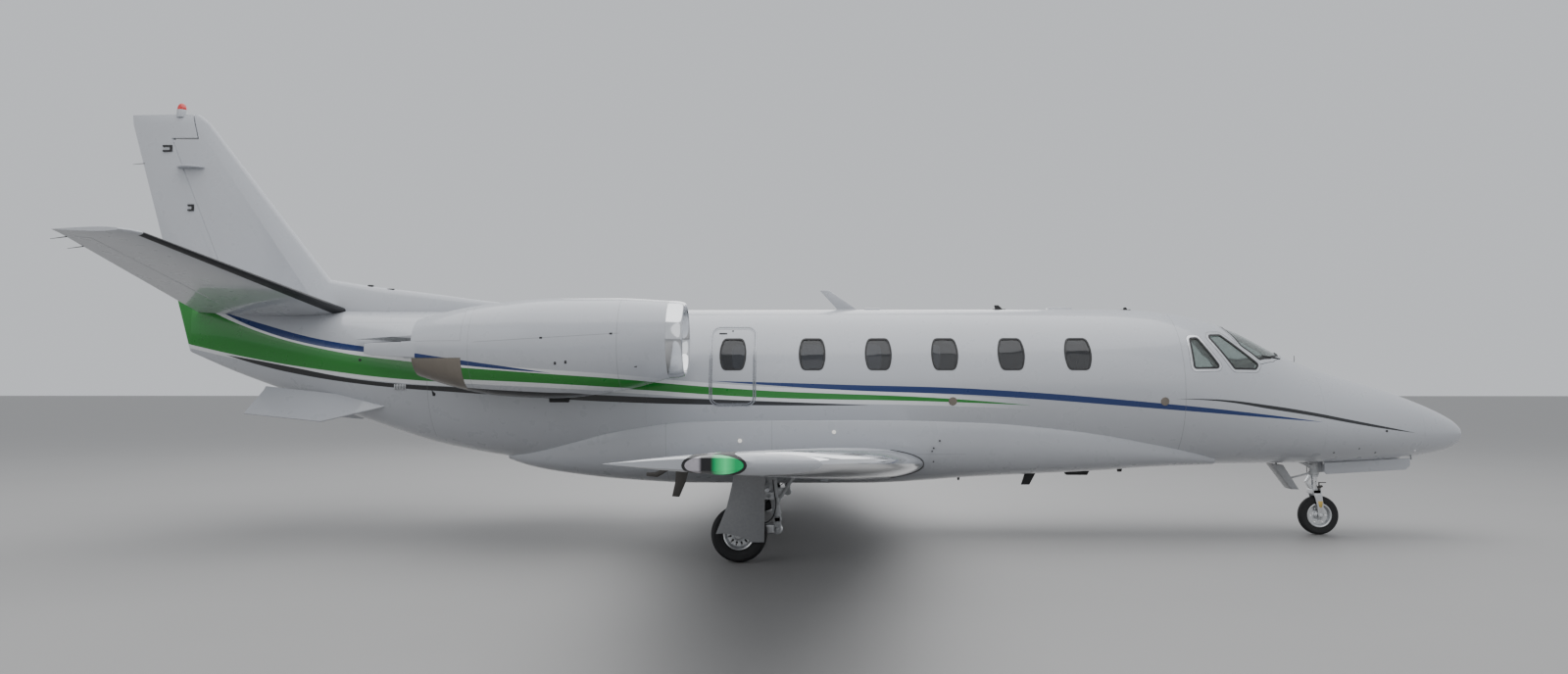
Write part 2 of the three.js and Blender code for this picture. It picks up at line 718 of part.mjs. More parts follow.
const sideCut = (outline, sign, inner = 420) =>
  sign > 0 ? sidePrism(outline, inner, 1100) : sidePrism(outline, -1100, -inner);
const doorOutline = ({ station, z, width, height, radius, lowRadius = radius }, grow = 0) =>
  roundedOutline(width + 2 * grow, height + 2 * grow, radius + grow, lowRadius + grow)
    .map(([u, v]) => [station + u, z + v]);

// Cockpit panes seen from the side (station, z) and the windscreen seen from above (station, y).
const quarterPane = [[3290, 2290], [3350, 2285], [3325, 1965], [3085, 1965]];
const sidePane = [[3035, 2325], [3165, 2320], [2880, 1955], [2650, 1950], [2625, 1990]];
const screenPane = [[1930, 28], [2660, 28], [2855, 430], [2430, 590], [2330, 610]];

function cockpitCutters(grow) {
  const flat = (outline, sign) => grownOutline(outline, grow).map(([s, y]) => [s, y * sign]);
  return sides.flatMap(({ sign }) => [
    sideCut(grownOutline(quarterPane, grow), sign),
    sideCut(grownOutline(sidePane, grow), sign),
    planPrism(flat(screenPane, sign), 1700, 2800),
  ]);
}

// The skin between two depths under the surface, between two of the cabin's own stations.
const skinLayer = (inset0, inset1, first, last) => {
  const stations = cabinStations.filter((s) => s >= first && s <= last);
  return fuselageLoft(stations, inset0).subtract(fuselageLoft(stations, inset1));
};
const cabinRoom = (inset) => fuselageLoft(cabinStations, inset).intersect(
  block([1950, cabinEnd - 90], [-1000, 1000], [500, 3000]),
);

function buildCabin() {
  const outer = fuselageLoft(seated(cabinStations), 0);
  const footwell = block([1800, 2500], [-1000, 1000], [500, 1180]);
  const room = cabinRoom(wall).subtract(footwell);
  const shellBody = outer.subtract(room);
  const windowCuts = sides.flatMap(({ sign }) => windowStations.map((s) => sideCut(windowOutline(s), sign)));
  const exitHole = sideCut(doorOutline(exitDoor, 3), -1);
  const entryHole = sideCut(doorOutline(entryDoor, moving), 1, 400);
  const hingeEnds = [-320, 320].map((d) => [entryDoor.station + d, entryHinge.y, entryHinge.z]);
  const { pin, hole } = hingePin(...hingeEnds, entryHinge.radius);
  const lugs = [-346, 346].map((d) => block(
    [entryDoor.station + d - 15, entryDoor.station + d + 15],
    [entryHinge.y - 26, entryHinge.y + 12],
    [entryHinge.z - 15, entryHinge.z + 13],
  ));
  const cuts = [...windowCuts, ...cockpitCutters(0), exitHole, entryHole, noseWell(), hole];
  const shell = without(joined(shellBody, ...lugs), ...cuts);
  addPiece("cabin_shell", largest(shell), "paint");

  const exitPlug = sideCut(doorOutline(exitDoor), -1);
  addPiece("emergency_exit", without(shellBody.intersect(exitPlug), windowCuts[5]), "paint");

  const doorPlug = sideCut(doorOutline(entryDoor), 1);
  const doorSkin = shellBody.intersect(doorPlug);
  const stepWidth = entryDoor.width - 120;
  const steps = [0.16, 0.43, 0.7].map((share) => {
    const z = entryDoor.z - entryDoor.height / 2 + share * entryDoor.height;
    const from = entryDoor.station - stepWidth / 2;
    return block([from, from + stepWidth], [440, 900], [z, z + 26]);
  });
  const stringers = [-1, 1].map((way) => {
    const middle = entryDoor.station + way * (stepWidth / 2 - 10);
    const zs = [entryDoor.z - 560, entryDoor.z + 330];
    return block([middle - 10, middle + 10], [560, 900], zs);
  });
  const insideSkin = fuselageLoft(cabinStations, 30);
  const stairs = joined(...steps, ...stringers).intersect(insideSkin);
  const leaf = block([entryDoor.station - 200, entryDoor.station + 200], [540, 572], [976, 1000]);
  addPiece("entry_door", largest(joined(doorSkin, stairs, leaf, pin)), "paint");

  // Each side's cabin panes stand on one inner panel along the window line.
  const paneLayer = skinLayer(glassInset[0], glassInset[1], 4200, cabinEnd);
  const panelLayer = skinLayer(wall + seat, glassInset[1], 4200, cabinEnd);
  for (const { name, sign } of sides) {
    const panel = panelLayer.intersect(sideCut([[4420, 1860], [8780, 1860], [8780, 2350], [4420, 2350]], sign));
    const panes = windowStations.map((s) => paneLayer.intersect(sideCut(windowOutline(s, -seat), sign)));
    addPiece(`cabin_windows_${name}`, joined(panel, ...panes), "glass");
  }

  // The cockpit panes stand on one inner panel behind the posts.
  const thick = skinLayer(glassInset[0], glassInset[1], cockpitFront, 3700);
  const thin = skinLayer(wall + seat, glassInset[1], cockpitFront, 3700);
  const cap = block([2000, 3440], [-1000, 1000], [1925, 2330]);
  const panes = cockpitCutters(-1).map((cut) => thick.intersect(cut));
  const lining = thin.intersect(cap);
  addPiece("cockpit_glass", largest(joined(lining, ...panes)), "glass");
}

// Cabin floor with a dropped aisle, seats on their rails, and the instrument panel
const floorTop = 1080;
const aisleTop = 905;
const aisleHalf = 205;
const floorReach = 560;
const plate = 22;

function buildInterior() {
  const outline = [
    [-floorReach, floorTop - plate], [-aisleHalf - plate, floorTop - plate], [-aisleHalf - plate, aisleTop - plate],
    [aisleHalf + plate, aisleTop - plate], [aisleHalf + plate, floorTop - plate], [floorReach, floorTop - plate],
    [floorReach, floorTop], [aisleHalf, floorTop], [aisleHalf, aisleTop], [-aisleHalf, aisleTop],
    [-aisleHalf, floorTop], [-floorReach, floorTop],
  ];
  const roomy = cabinRoom(wall + seat);
  const doorway = block([entryDoor.station - 340, entryDoor.station + 340], [300, 1000], [1000, 1300]);
  const floor = frontPrism(outline, 2560, 9380).intersect(roomy);
  addPiece("cabin_floor", floor.subtract(doorway), "trim");

  const rail = 26;
  const seatPlaces = [
    // station of the seat's middle, and facing: 1 looks forward, -1 looks aft
    [3030, 1],
    [4800, -1],
    [6000, 1],
    [6900, -1],
    [7950, 1],
  ];
  const base = floorTop + seat;
  const seats = sides.flatMap(({ sign }) =>
    seatPlaces.map(([station, facing]) => seatSolid(station, 395 * sign, facing, base + rail)),
  );
  const rails = sides.map(({ sign }) =>
    block([2790, 8200], [395 * sign - 75, 395 * sign + 75], [base, base + rail]),
  );
  const bridges = [3300, 8150].map((s) => block([s, s + 40], [-395, 395], [base, base + rail]));
  const frame = joined(...rails, ...bridges, ...seats).subtract(doorway);
  addPiece("seats", largest(frame.intersect(roomy)), "leather");

  const panelOutline = [[2200, 1905], [2230, 1935], [2560, 1925], [2575, 1870], [2500, 1860], [2500, 1500],
    [2440, 1300], [2440, 1180.4], [2200, 1180.4]];
  const panel = sidePrism(panelOutline, -760, 760).intersect(cabinRoom(wall + 13));
  addPiece("instrument_panel", panel, "trim");
}

function seatSolid(station, y, facing, base) {
  const outline = [
    // ahead of the seat's middle, and height over the rail
    [230, 390], [225, 270], [110, 240], [80, -1], [-180, -1], [-200, 235], [-275, 240], [-390, 1010], [-300, 1020],
    [-170, 390],
  ];
  return sidePrism(outline.map(([ahead, up]) => [station - facing * ahead, base + up]), y - 225, y + 225);
}

// Nose gear
const noseWheelStation = 1670;
const noseTyreRadius = 228;
const noseLegStation = 1707;
const wellHalf = 130;
const wellTop = 1100;
const noseWell = () => block([640, 2300], [-wellHalf, wellHalf], [600, wellTop]);

// Wheels and tyres are turned in this many facets, with a flat one at the bottom, as wide as a tyre's contact.
const wheelFacets = 20;
const halfFacet = Math.PI / wheelFacets;

function tyreSolid(axleStation, y, radius, width, rim) {
  const shoulder = width / 2;
  const crown = radius / Math.cos(halfFacet);
  const profile = [
    [rim, -shoulder * 0.72], [rim + (radius - rim) * 0.4, -shoulder], [rim + (radius - rim) * 0.78, -shoulder * 0.9],
    [crown, -shoulder * 0.42], [crown, shoulder * 0.42],
    [rim + (radius - rim) * 0.78, shoulder * 0.9], [rim + (radius - rim) * 0.4, shoulder], [rim, shoulder * 0.72],
  ];
  return turned(profile, "y", [axleStation, y, radius], wheelFacets, halfFacet);
}

function wheelSolid(axleStation, y, height, rim, width, bore, dish, holes) {
  const edge = width * 0.36;
  const profile = [
    [bore, -edge * 0.9], [bore + 28, -edge * 0.9], [bore + 28, -dish], [rim * 0.78, -dish], [rim - seat, -edge],
    [rim - seat, edge], [rim * 0.78, dish], [bore + 28, dish], [bore + 28, edge * 0.9], [bore, edge * 0.9],
  ];
  let wheel = turned(profile, "y", [axleStation, y, height], wheelFacets, halfFacet);
  const reach = rim * 0.62;
  for (let i = 0; i < holes; i++) {
    const turn = ((i + 0.5) / holes) * 2 * Math.PI;
    const at = [axleStation + reach * Math.cos(turn), height + reach * Math.sin(turn)];
    wheel = wheel.subtract(bar([at[0], y - 100, at[1]], [at[0], y + 100, at[1]], 12, 12, 6));
  }
  return wheel;
}

function buildNoseGear() {
  const s = noseLegStation;
  const pistonTop = 770;
  const pistonHole = bar([s, 0, pistonTop + 4], [s, 0, 600], 34.9, 34.9, 16);
  const strut = joined(
    bar([s, 0, wellTop - seat], [s, 0, 705], 48, 48, 16),
    bar([s, 0, 760], [s, 0, 700], 58, 58, 16),
    block([s - 40, s + 40], [-wellHalf + seat, wellHalf - seat], [1010, 1060]),
    bar([s + 20, -28, 790], [2180, -28, 1000], 17, 17, 10),
    bar([s + 20, 28, 790], [2180, 28, 1000], 17, 17, 10),
    bar([2180, -wellHalf + seat, 1000], [2180, wellHalf - seat, 1000], 22, 22, 12),
    sidePrism([[2100, 820], [2235, 838], [2010, 535], [1920, 535], [1940, 560]], -100, 100),
    bar([2060, 0, 640], [s + 30, 0, 720], 11, 11, 8),
    bar([2168, -60, 1000], [2168, -60, 790], 12, 12, 8),
  );
  addPiece("nose_strut", strut.subtract(pistonHole), "steel");

  const axleZ = noseTyreRadius;
  const arm = (sign) => sidePrism(
    [[s - 52, 535], [s + 52, 535], [s + 40, 470], [noseWheelStation + 30, axleZ - 22], [noseWheelStation - 30, axleZ - 22],
      [noseWheelStation - 40, axleZ + 60], [s - 60, 470]],
    sign > 0 ? 66 : -82,
    sign > 0 ? 82 : -66,
  );
  const fork = joined(
    bar([s, 0, pistonTop], [s, 0, 500], 34, 34, 16),
    block([s - 52, s + 52], [-82, 82], [478, 535]),
    arm(1),
    arm(-1),
    bar([noseWheelStation, -90, axleZ], [noseWheelStation, 90, axleZ], 17, 17, 16),
    block([s - 95, s - 30], [-24, 24], [560, 590]),
    block([s - 95, s - 80], [-24, 24], [510, 680]),
  );
  addPiece("nose_fork", fork, "wheel");
  const rim = 136;
  addPiece("nose_tyre", tyreSolid(noseWheelStation, 0, noseTyreRadius, 110, rim), "tyre");
  addPiece("nose_wheel", wheelSolid(noseWheelStation, 0, noseTyreRadius, rim, 100, 17.6, 14, 6), "wheel");

  for (const { name, sign } of sides) {
    const { front, back, y, drop, thickness } = noseDoor;
    const ys = [y * sign - thickness / 2, y * sign + thickness / 2];
    const panel = sidePrism([[front[0], front[1] + 3], [back[0], back[1] + 3], [back[0], back[1] - drop],
      [front[0], front[1] - drop]], ...ys);
    addPiece(`nose_door_${name}`, joined(panel, noseDoorPin(sign).pin), "paint");
  }
}

// Each nose door hangs open from lugs along the edge of the well, and its line is under the belly's own.
const noseDoor = { front: [655, 900], back: [1643, 844], y: 136, drop: 128, thickness: 12, pin: 6 };
const noseDoorPin = (sign) => {
  const [front, back] = [noseDoor.front, noseDoor.back].map(([s, z]) => [s, noseDoor.y * sign, z]);
  return hingePin(front, back, noseDoor.pin, 20);
};

function noseDoorLugs() {
  return sides.flatMap(({ sign }) => {
    const ys = [noseDoor.y * sign - 12, noseDoor.y * sign + 12];
    const { front, back } = noseDoor;
    const lugs = [[front[0] - 21, front[0] - 8, front[1]], [back[0] + 8, back[0] + 21, back[1]]];
    return lugs.map(([from, to, z]) => block([from, to], ys, [z - 12, z + 60]).subtract(noseDoorPin(sign).hole));
  });
}

// Main gear
const mainWheelStation = noseWheelStation + wheelbase;
const mainTyreRadius = 277.5;
const mainWheelY = track / 2;
const legY = mainWheelY - 205;
const legStation = 7975;

function buildMainGear({ name, sign }) {
  const y = legY * sign;
  const wheelY = mainWheelY * sign;
  const grown = wingSolid(sign, seat);
  const pivot = [legStation, 300];
  const doorFace = [mainWheelY + 135, mainWheelY + 150].map((v) => v * sign).sort((a, b) => a - b);
  const leg = joined(
    bar([8055, y, 1000], [pivot[0], y, 380], 46, 42, 12),
    bar([pivot[0], y - 62, pivot[1]], [pivot[0], y + 62, pivot[1]], 26, 26, 12),
    block([pivot[0] - 34, pivot[0] + 34], [y - 62, y - 40], [pivot[1], 420]),
    block([pivot[0] - 34, pivot[0] + 34], [y + 40, y + 62], [pivot[1], 420]),
    block([pivot[0] - 34, pivot[0] + 34], [y - 62, y + 62], [372, 430]),
    bar([8150, y, 700], [8040, y, 760], 24, 24, 8),
    bar([8230, y, 390], [8165, y, 700], 34, 34),
    bar([8165, y, 680], [8120, y, 900], 26, 26, 8),
    block([8000, 8100], [Math.min(y, doorFace[0] + 20), Math.max(y, doorFace[1] - 20)], [640, 690]),
    bar([7990, y, 560], [7760, y, 900], 20, 20, 8),
  );
  const doorSpace = block([7700, 8700], doorFace.map((v, i) => v + (i ? seat : -seat)), [100, 1200]);
  addPiece(`main_leg_${name}`, largest(without(leg, grown, doorSpace)), "steel");

  const axle = [mainWheelStation, mainTyreRadius];
  const pinHole = bar([pivot[0], y - 80, pivot[1]], [pivot[0], y + 80, pivot[1]], 26.8, 26.8, 14);
  const shockHole = bar([8236, y, 361], [8160, y, 724], 36, 36, 14);
  const link = without(
    joined(
      bar([pivot[0], y - 36, pivot[1]], [pivot[0], y + 36, pivot[1]], 52, 52, 18),
      sidePrism([[pivot[0], 345], [8290, 335], [8375, 300], [8375, 245], [8290, 235], [pivot[0], 262]], y - 36, y + 36),
      block([8195, 8270], [y - 36, y + 36], [310, 356]),
      bar([axle[0], y, axle[1]], [axle[0], (mainWheelY + 88) * sign, axle[1]], 27, 27, 18),
      bar([axle[0], y, axle[1]], [axle[0], y + 52 * sign, axle[1]], 62, 62, 18),
    ),
    pinHole,
    shockHole,
  );
  addPiece(`main_link_${name}`, largest(link), "wheel");
  const rim = 152;
  addPiece(`main_tyre_${name}`, tyreSolid(mainWheelStation, wheelY, mainTyreRadius, 200, rim), "tyre");
  addPiece(`main_wheel_${name}`, wheelSolid(mainWheelStation, wheelY, mainTyreRadius, rim, 180, 27.7, 20, 12), "wheel");

  const cover = sidePrism(
    [[8085, 960], [8372, 960], [8462, 560], [8570, 292], [8440, 290], [8250, 238], [8238, 212], [8095, 212]],
    doorFace[0],
    doorFace[1],
  );
  addPiece(`main_door_${name}`, largest(without(cover, grown, flapRoom[name])), "paint");
}

// Assembly
addPiece("radome", fuselageLoft(radomeStations, 0), "paint");
const noseBody = fuselageLoft(seated(noseStations), 0).subtract(noseWell());
addPiece("nose_section", joined(noseBody, ...noseDoorLugs()), "paint");
buildCabin();
buildInterior();

const tailRoomEnd = 13900;
const tailOutside = fuselageLoft(seated(tailStations), 0);
const tailRoom = fuselageLoft(tailStations.slice(0, -2), 45).subtract(block([tailRoomEnd, 16000], [-900, 900], [0, 3000]));
const tailCuts = sides.map(({ sign }) => stabSolid(sign, seat));
addPiece("tailcone", largest(without(tailOutside, tailRoom, ...tailCuts)), "paint");

const wingGaps = sides.map(({ sign }) => wingSolid(sign, seat));
const fairing = without(loft(fairingStations.map(fairingRing)), outerSkin, ...wingGaps);
addPiece("belly_fairing", largest(fairing), "paint");

sides.forEach(buildWing);
buildTail();
sides.forEach(buildStrake);
sides.forEach(buildEngine);
sides.forEach(buildPylon);
buildNoseGear();
sides.forEach(buildMainGear);

export default jet;
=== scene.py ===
import math

import bmesh
import bpy
from mathutils import Matrix, Vector


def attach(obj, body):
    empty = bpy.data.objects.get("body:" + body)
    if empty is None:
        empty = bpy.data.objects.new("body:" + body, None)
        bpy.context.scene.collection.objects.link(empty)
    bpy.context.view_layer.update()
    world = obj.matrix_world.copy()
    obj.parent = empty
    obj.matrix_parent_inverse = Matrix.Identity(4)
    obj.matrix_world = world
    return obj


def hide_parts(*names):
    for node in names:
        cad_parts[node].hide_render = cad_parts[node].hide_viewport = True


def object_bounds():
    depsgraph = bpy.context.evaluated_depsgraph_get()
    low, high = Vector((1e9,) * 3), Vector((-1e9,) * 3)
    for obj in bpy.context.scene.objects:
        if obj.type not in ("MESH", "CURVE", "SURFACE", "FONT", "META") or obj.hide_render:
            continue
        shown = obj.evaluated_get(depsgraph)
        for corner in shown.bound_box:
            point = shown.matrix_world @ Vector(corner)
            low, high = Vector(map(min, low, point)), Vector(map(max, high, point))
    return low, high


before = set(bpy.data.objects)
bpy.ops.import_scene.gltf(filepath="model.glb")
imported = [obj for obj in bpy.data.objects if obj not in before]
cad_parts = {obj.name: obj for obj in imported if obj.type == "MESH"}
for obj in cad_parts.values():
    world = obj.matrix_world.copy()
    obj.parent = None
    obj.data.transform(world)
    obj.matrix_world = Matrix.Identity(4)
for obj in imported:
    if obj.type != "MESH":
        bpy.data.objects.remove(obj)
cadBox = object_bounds()  # the solids alone, before anything is added

# A business jet parked on its gear. Metres, nose towards +X, left wing towards +Y.
# A station is measured aft from the tip of the nose.

noseX = cadBox[1][0]
halfSpan = cadBox[1][1]
panelGap = 0.0008  # seam left between skins that meet
closeFit = 0.0005  # clearance where a piece is cut to fit its neighbour
samePlace = 1e-5  # corners this near count as one
sideNames = {-1: "right", 1: "left"}


def atStation(station):
    return noseX - station


def at(station, *rest):
    # a place given by its station
    return (noseX - station, *rest)


# Working in Blender: selecting, modes and modifiers

def deselectAll():
    if bpy.context.object and bpy.context.object.mode != "OBJECT":
        bpy.ops.object.mode_set(mode="OBJECT")
    bpy.ops.object.select_all(action="DESELECT")


def activate(piece, *others):
    deselectAll()
    for one in (piece, *others):
        one.select_set(True)
    bpy.context.view_layer.objects.active = piece


def startEdit(piece, mode="VERT"):
    activate(piece)
    bpy.ops.object.mode_set(mode="EDIT")
    bpy.ops.mesh.select_mode(type=mode)
    bpy.ops.mesh.select_all(action="SELECT")


def endEdit():
    bpy.ops.object.mode_set(mode="OBJECT")


def selectAll():
    bpy.ops.mesh.select_all(action="SELECT")


def extrudeBy(move):
    bpy.ops.mesh.extrude_region_move(TRANSFORM_OT_translate={"value": move})


def resizeBy(size, centre):
    bpy.ops.transform.resize(value=size, center_override=centre)


def turnBy(angle, axis, centre):
    bpy.ops.transform.rotate(value=angle, orient_axis=axis, center_override=centre)


def closeUp(merge=False):
    # ends the editing of a skin with all its faces pointing out
    selectAll()
    if merge:
        bpy.ops.mesh.remove_doubles(threshold=samePlace)
    bpy.ops.mesh.normals_make_consistent(inside=False)
    endEdit()


def pickVerts(piece, test):
    mesh = bmesh.from_edit_mesh(piece.data)
    for edge in mesh.edges:
        edge.select = False
    for face in mesh.faces:
        face.select = False
    for vert in mesh.verts:
        vert.select = bool(test(vert.co))
    mesh.select_flush_mode()
    bmesh.update_edit_mesh(piece.data)


def pickFaces(piece, test):
    bpy.ops.mesh.select_mode(type="FACE")
    bpy.ops.mesh.select_all(action="DESELECT")
    mesh = bmesh.from_edit_mesh(piece.data)
    for face in mesh.faces:
        face.select = bool(test(face))
    mesh.select_flush_mode()
    bmesh.update_edit_mesh(piece.data)


def newest(name):
    piece = bpy.context.object
    piece.name = name
    piece.data.name = name
    bpy.ops.object.transform_apply(location=True, rotation=True, scale=True)
    return piece


def finishWith(piece, kind, **settings):
    activate(piece)
    modifier = piece.modifiers.new(kind.lower(), kind)
    for setting, value in settings.items():
        setattr(modifier, setting, value)
    bpy.ops.object.modifier_apply(modifier=modifier.name)
    return piece


def remove(*pieces):
    for piece in pieces:
        bpy.data.objects.remove(piece)


def combine(piece, other, operation, keep=False):
    finishWith(piece, "BOOLEAN", operation=operation, object=other, solver="EXACT")
    if not keep:
        remove(other)
    return piece


def cutAway(piece, *cutters, keep=False):
    for cutter in cutters:
        combine(piece, cutter, "DIFFERENCE", keep)
    return piece


def overlapOf(piece, other, keep=False):
    return combine(piece, other, "INTERSECT", keep)


def duplicateOf(piece, name, move=(0, 0, 0), size=(1, 1, 1)):
    activate(piece)
    bpy.ops.object.duplicate(linked=False)
    resizeBy(size, (0, 0, 0))
    bpy.ops.transform.translate(value=move)
    copy = newest(name)
    if size[0] * size[1] * size[2] < 0:
        pointOut(copy)
    return copy


def mirrored(piece, name):
    return duplicateOf(piece, name, size=(1, -1, 1))


def bothSides(pieces):
    return pieces + [mirrored(piece, piece.name) for piece in pieces]


def joinAll(name, pieces):
    activate(pieces[0], *pieces[1:])
    if len(pieces) > 1:
        bpy.ops.object.join()
    return newest(name)


def pointOut(piece):
    startEdit(piece)
    closeUp(merge=True)


# Shapes that most of the pieces start from

def rod(name, start, end, radius, endRadius=None, sides=32, edge=0.0):
    deselectAll()
    start, end = Vector(start), Vector(end)
    along = end - start
    turn = Vector((0, 0, 1)).rotation_difference(along).to_euler()
    bpy.ops.mesh.primitive_cone_add(
        vertices=sides, radius1=radius, radius2=radius if endRadius is None else endRadius,
        depth=along.length, location=(start + end) / 2, rotation=turn)
    piece = newest(name)
    if edge:
        roundEdges(piece, edge)
    return piece


def acrossRod(name, station, z, start, end, radius, sides=32, edge=0.0):
    # a rod straight across, between two distances from the middle
    return rod(name, at(station, start, z), at(station, end, z), radius, sides=sides, edge=edge)


def box(name, low, high, edge=0.0, segments=3):
    deselectAll()
    low, high = Vector(low), Vector(high)
    bpy.ops.mesh.primitive_cube_add(size=1, location=(low + high) / 2, scale=high - low)
    piece = newest(name)
    if edge:
        roundEdges(piece, edge, segments)
    return piece


def roundEdges(piece, width, segments=3, angle=35):
    return finishWith(piece, "BEVEL", width=width, segments=segments, limit_method="ANGLE",
        angle_limit=math.radians(angle), use_clamp_overlap=True)


# A line drawn through corners, point by point, and left open for editing.
def drawnLine(name, corners, closed=False):
    deselectAll()
    bpy.ops.mesh.primitive_plane_add(size=0.1, location=corners[0])
    piece = newest(name)
    startEdit(piece)
    bpy.ops.mesh.merge(type="CENTER")
    for before, after in zip(corners, corners[1:] + (corners[:1] if closed else [])):
        extrudeBy(after - before)
    selectAll()
    return piece


# An outline drawn point by point, filled, and pulled out into a plate along one axis.
def outlinePlate(name, outline, along, low, high, edge=0.0, segments=3):
    spread = {"X": lambda u, v, w: Vector((w, u, v)), "Y": lambda u, v, w: Vector((u, w, v)),
        "Z": lambda u, v, w: Vector((u, v, w))}[along]
    piece = drawnLine(name, [spread(u, v, low) for u, v in outline])
    bpy.ops.mesh.edge_face_add()
    extrudeBy(spread(0, 0, high - low))
    closeUp()
    if edge:
        roundEdges(piece, edge, segments)
    return piece


def sideShape(name, rows, low, high, edge=0.0):
    # a plate from (station, height) rows, between two distances from the middle
    return outlinePlate(name, [at(s, z) for s, z in rows], "Y", low, high, edge)


# The outline moved outwards by a distance, mitred at its corners.
def grownOutline(outline, by):
    points = [Vector(p) for p in outline]
    area = sum(a.x * b.y - b.x * a.y for a, b in zip(points, points[1:] + points[:1]))
    way = 1 if area > 0 else -1
    grown = []
    for i, point in enumerate(points):
        before = (point - points[i - 1]).normalized()
        after = (points[(i + 1) % len(points)] - point).normalized()
        outA = Vector((before.y, -before.x)) * way
        outB = Vector((after.y, -after.x)) * way
        middle = (outA + outB) / (1 + outA.dot(outB))
        grown.append(tuple(point + middle * by))
    return grown


def roundedCorners(outline, radius, steps=5):
    points = [Vector(p) for p in outline]
    rounded = []
    for i, point in enumerate(points):
        before, after = points[i - 1], points[(i + 1) % len(points)]
        toBefore, toAfter = (before - point).normalized(), (after - point).normalized()
        half = math.acos(max(-1, min(1, toBefore.dot(toAfter)))) / 2
        reach = radius / math.tan(half)
        centre = point + (toBefore + toAfter).normalized() * radius / math.sin(half)
        first, last = point + toBefore * reach - centre, point + toAfter * reach - centre
        turn = first.angle_signed(last)
        for k in range(steps + 1):
            angle = -turn * k / steps
            spun = Vector((first.x * math.cos(angle) - first.y * math.sin(angle),
                first.x * math.sin(angle) + first.y * math.cos(angle)))
            rounded.append(tuple(centre + spun))
    return rounded


# A smooth curve through one column of a table whose first column is the station; it never overshoots.
def smoothColumn(table, column, station):
    last = len(table) - 2
    k = next((i for i in range(last + 1) if station <= table[i + 1][0]), last)

    def slope(i):
        return (table[i + 1][column] - table[i][column]) / (table[i + 1][0] - table[i][0])

    def tangent(i):
        if i == 0:
            return slope(0)
        if i == last + 1:
            return slope(last)
        before, after = slope(i - 1), slope(i)
        return 0 if before * after <= 0 else 2 * before * after / (before + after)

    width = table[k + 1][0] - table[k][0]
    t = (station - table[k][0]) / width
    a, b = table[k][column], table[k + 1][column]
    return (a * (1 + 2 * t) * (1 - t) ** 2 + b * t * t * (3 - 2 * t) + width
        * (tangent(k) * t * (1 - t) ** 2 - tangent(k + 1) * t * t * (1 - t)))


def evenly(first, last, step):
    count = max(1, round((last - first) / step))
    return [first + (last - first) * i / count for i in range(count + 1)]


def startRing(name, centre, sides):
    deselectAll()
    bpy.ops.mesh.primitive_circle_add(vertices=sides, radius=1, fill_type="NGON",
        rotation=(0, math.pi / 2, 0), location=centre)
    piece = newest(name)
    startEdit(piece)
    return piece


# Grows a ring into a skin: at each station the end is extruded and its width and its upper and
# lower halves are resized. sizesAt gives half width, height above and below, and widest height.
def growRing(piece, stations, sizesAt, middleY=0.0):
    before = (1, 1, 1, sizesAt(stations[0])[3])
    for i, station in enumerate(stations):
        half, upper, lower, wide = sizesAt(station)
        x = atStation(station)
        if i:
            extrudeBy((x - atStation(stations[i - 1]), 0, wide - before[3]))
        else:
            selectAll()
        centre = (x, middleY, wide)
        resizeBy((1, half / before[0], 1), centre)
        pickVerts(piece, lambda co: abs(co.x - x) < samePlace and co.z > wide + 1e-6)
        resizeBy((1, 1, upper / before[1]), centre)
        pickVerts(piece, lambda co: abs(co.x - x) < samePlace and co.z < wide - 1e-6)
        resizeBy((1, 1, lower / before[2]), centre)
        pickVerts(piece, lambda co: abs(co.x - x) < samePlace)
        before = (half, upper, lower, wide)
    closeUp()


# A skin of oval rings. shapeAt gives top, bottom, half width and widest height.
def skinLoft(name, stations, shapeAt, inset=0.0, middleY=0.0, sides=64):
    def sizesAt(station):
        top, bottom, half, wide = shapeAt(station)
        return half - inset, top - wide - inset, wide - bottom - inset, wide

    piece = startRing(name, at(stations[0], middleY, sizesAt(stations[0])[3]), sides)
    growRing(piece, stations, sizesAt, middleY)
    return piece


def halfThickness(share):
    return 5 * (0.2969 * math.sqrt(share) - 0.126 * share - 0.3516 * share ** 2 + 0.2843 * share ** 3
        - 0.1036 * share ** 4)


# A flying surface grown from one section: a circle is squeezed pair by pair into an aerofoil,
# then extruded and resized to each further section. thick is the axis of its thickness.
def panelLoft(name, sections, thick="Z", grow=0.0, sides=64):
    across = {"Z": 2, "Y": 1}[thick]
    turn = (math.pi / 2, 0, 0) if thick == "Z" else (0, 0, 0)
    first = sections[0]
    chord = first["chord"] + 2 * grow
    middle = Vector((atStation(first["station"] - grow) - chord / 2, first["y"], first["z"]))
    deselectAll()
    bpy.ops.mesh.primitive_circle_add(
        vertices=sides, radius=chord / 2, fill_type="NGON", rotation=turn, location=middle)
    piece = newest(name)
    startEdit(piece)
    front = middle.x + chord / 2
    for i in range(1, sides // 2):
        x = middle.x + chord / 2 * math.cos(2 * math.pi * i / sides)
        wanted = halfThickness((front - x) / chord) * first["thickness"] + grow
        now = chord / 2 * math.sin(2 * math.pi * i / sides)
        pickVerts(piece, lambda co: abs(co.x - x) < samePlace)
        size = [1, 1, 1]
        size[across] = wanted / now
        resizeBy(size, middle)
    selectAll()
    edge = Vector((front, first["y"], first["z"]))
    before = (chord, first["thickness"] + 2 * grow)
    for section in sections[1:]:
        chord = section["chord"] + 2 * grow
        start = Vector(at(section["station"] - grow, section["y"], section["z"]))
        extrudeBy(start - edge)
        size = [chord / before[0], 1, 1]
        size[across] = (section["thickness"] + 2 * grow) / before[1]
        resizeBy(size, start)
        edge, before = start, (chord, section["thickness"] + 2 * grow)
    closeUp()
    return piece


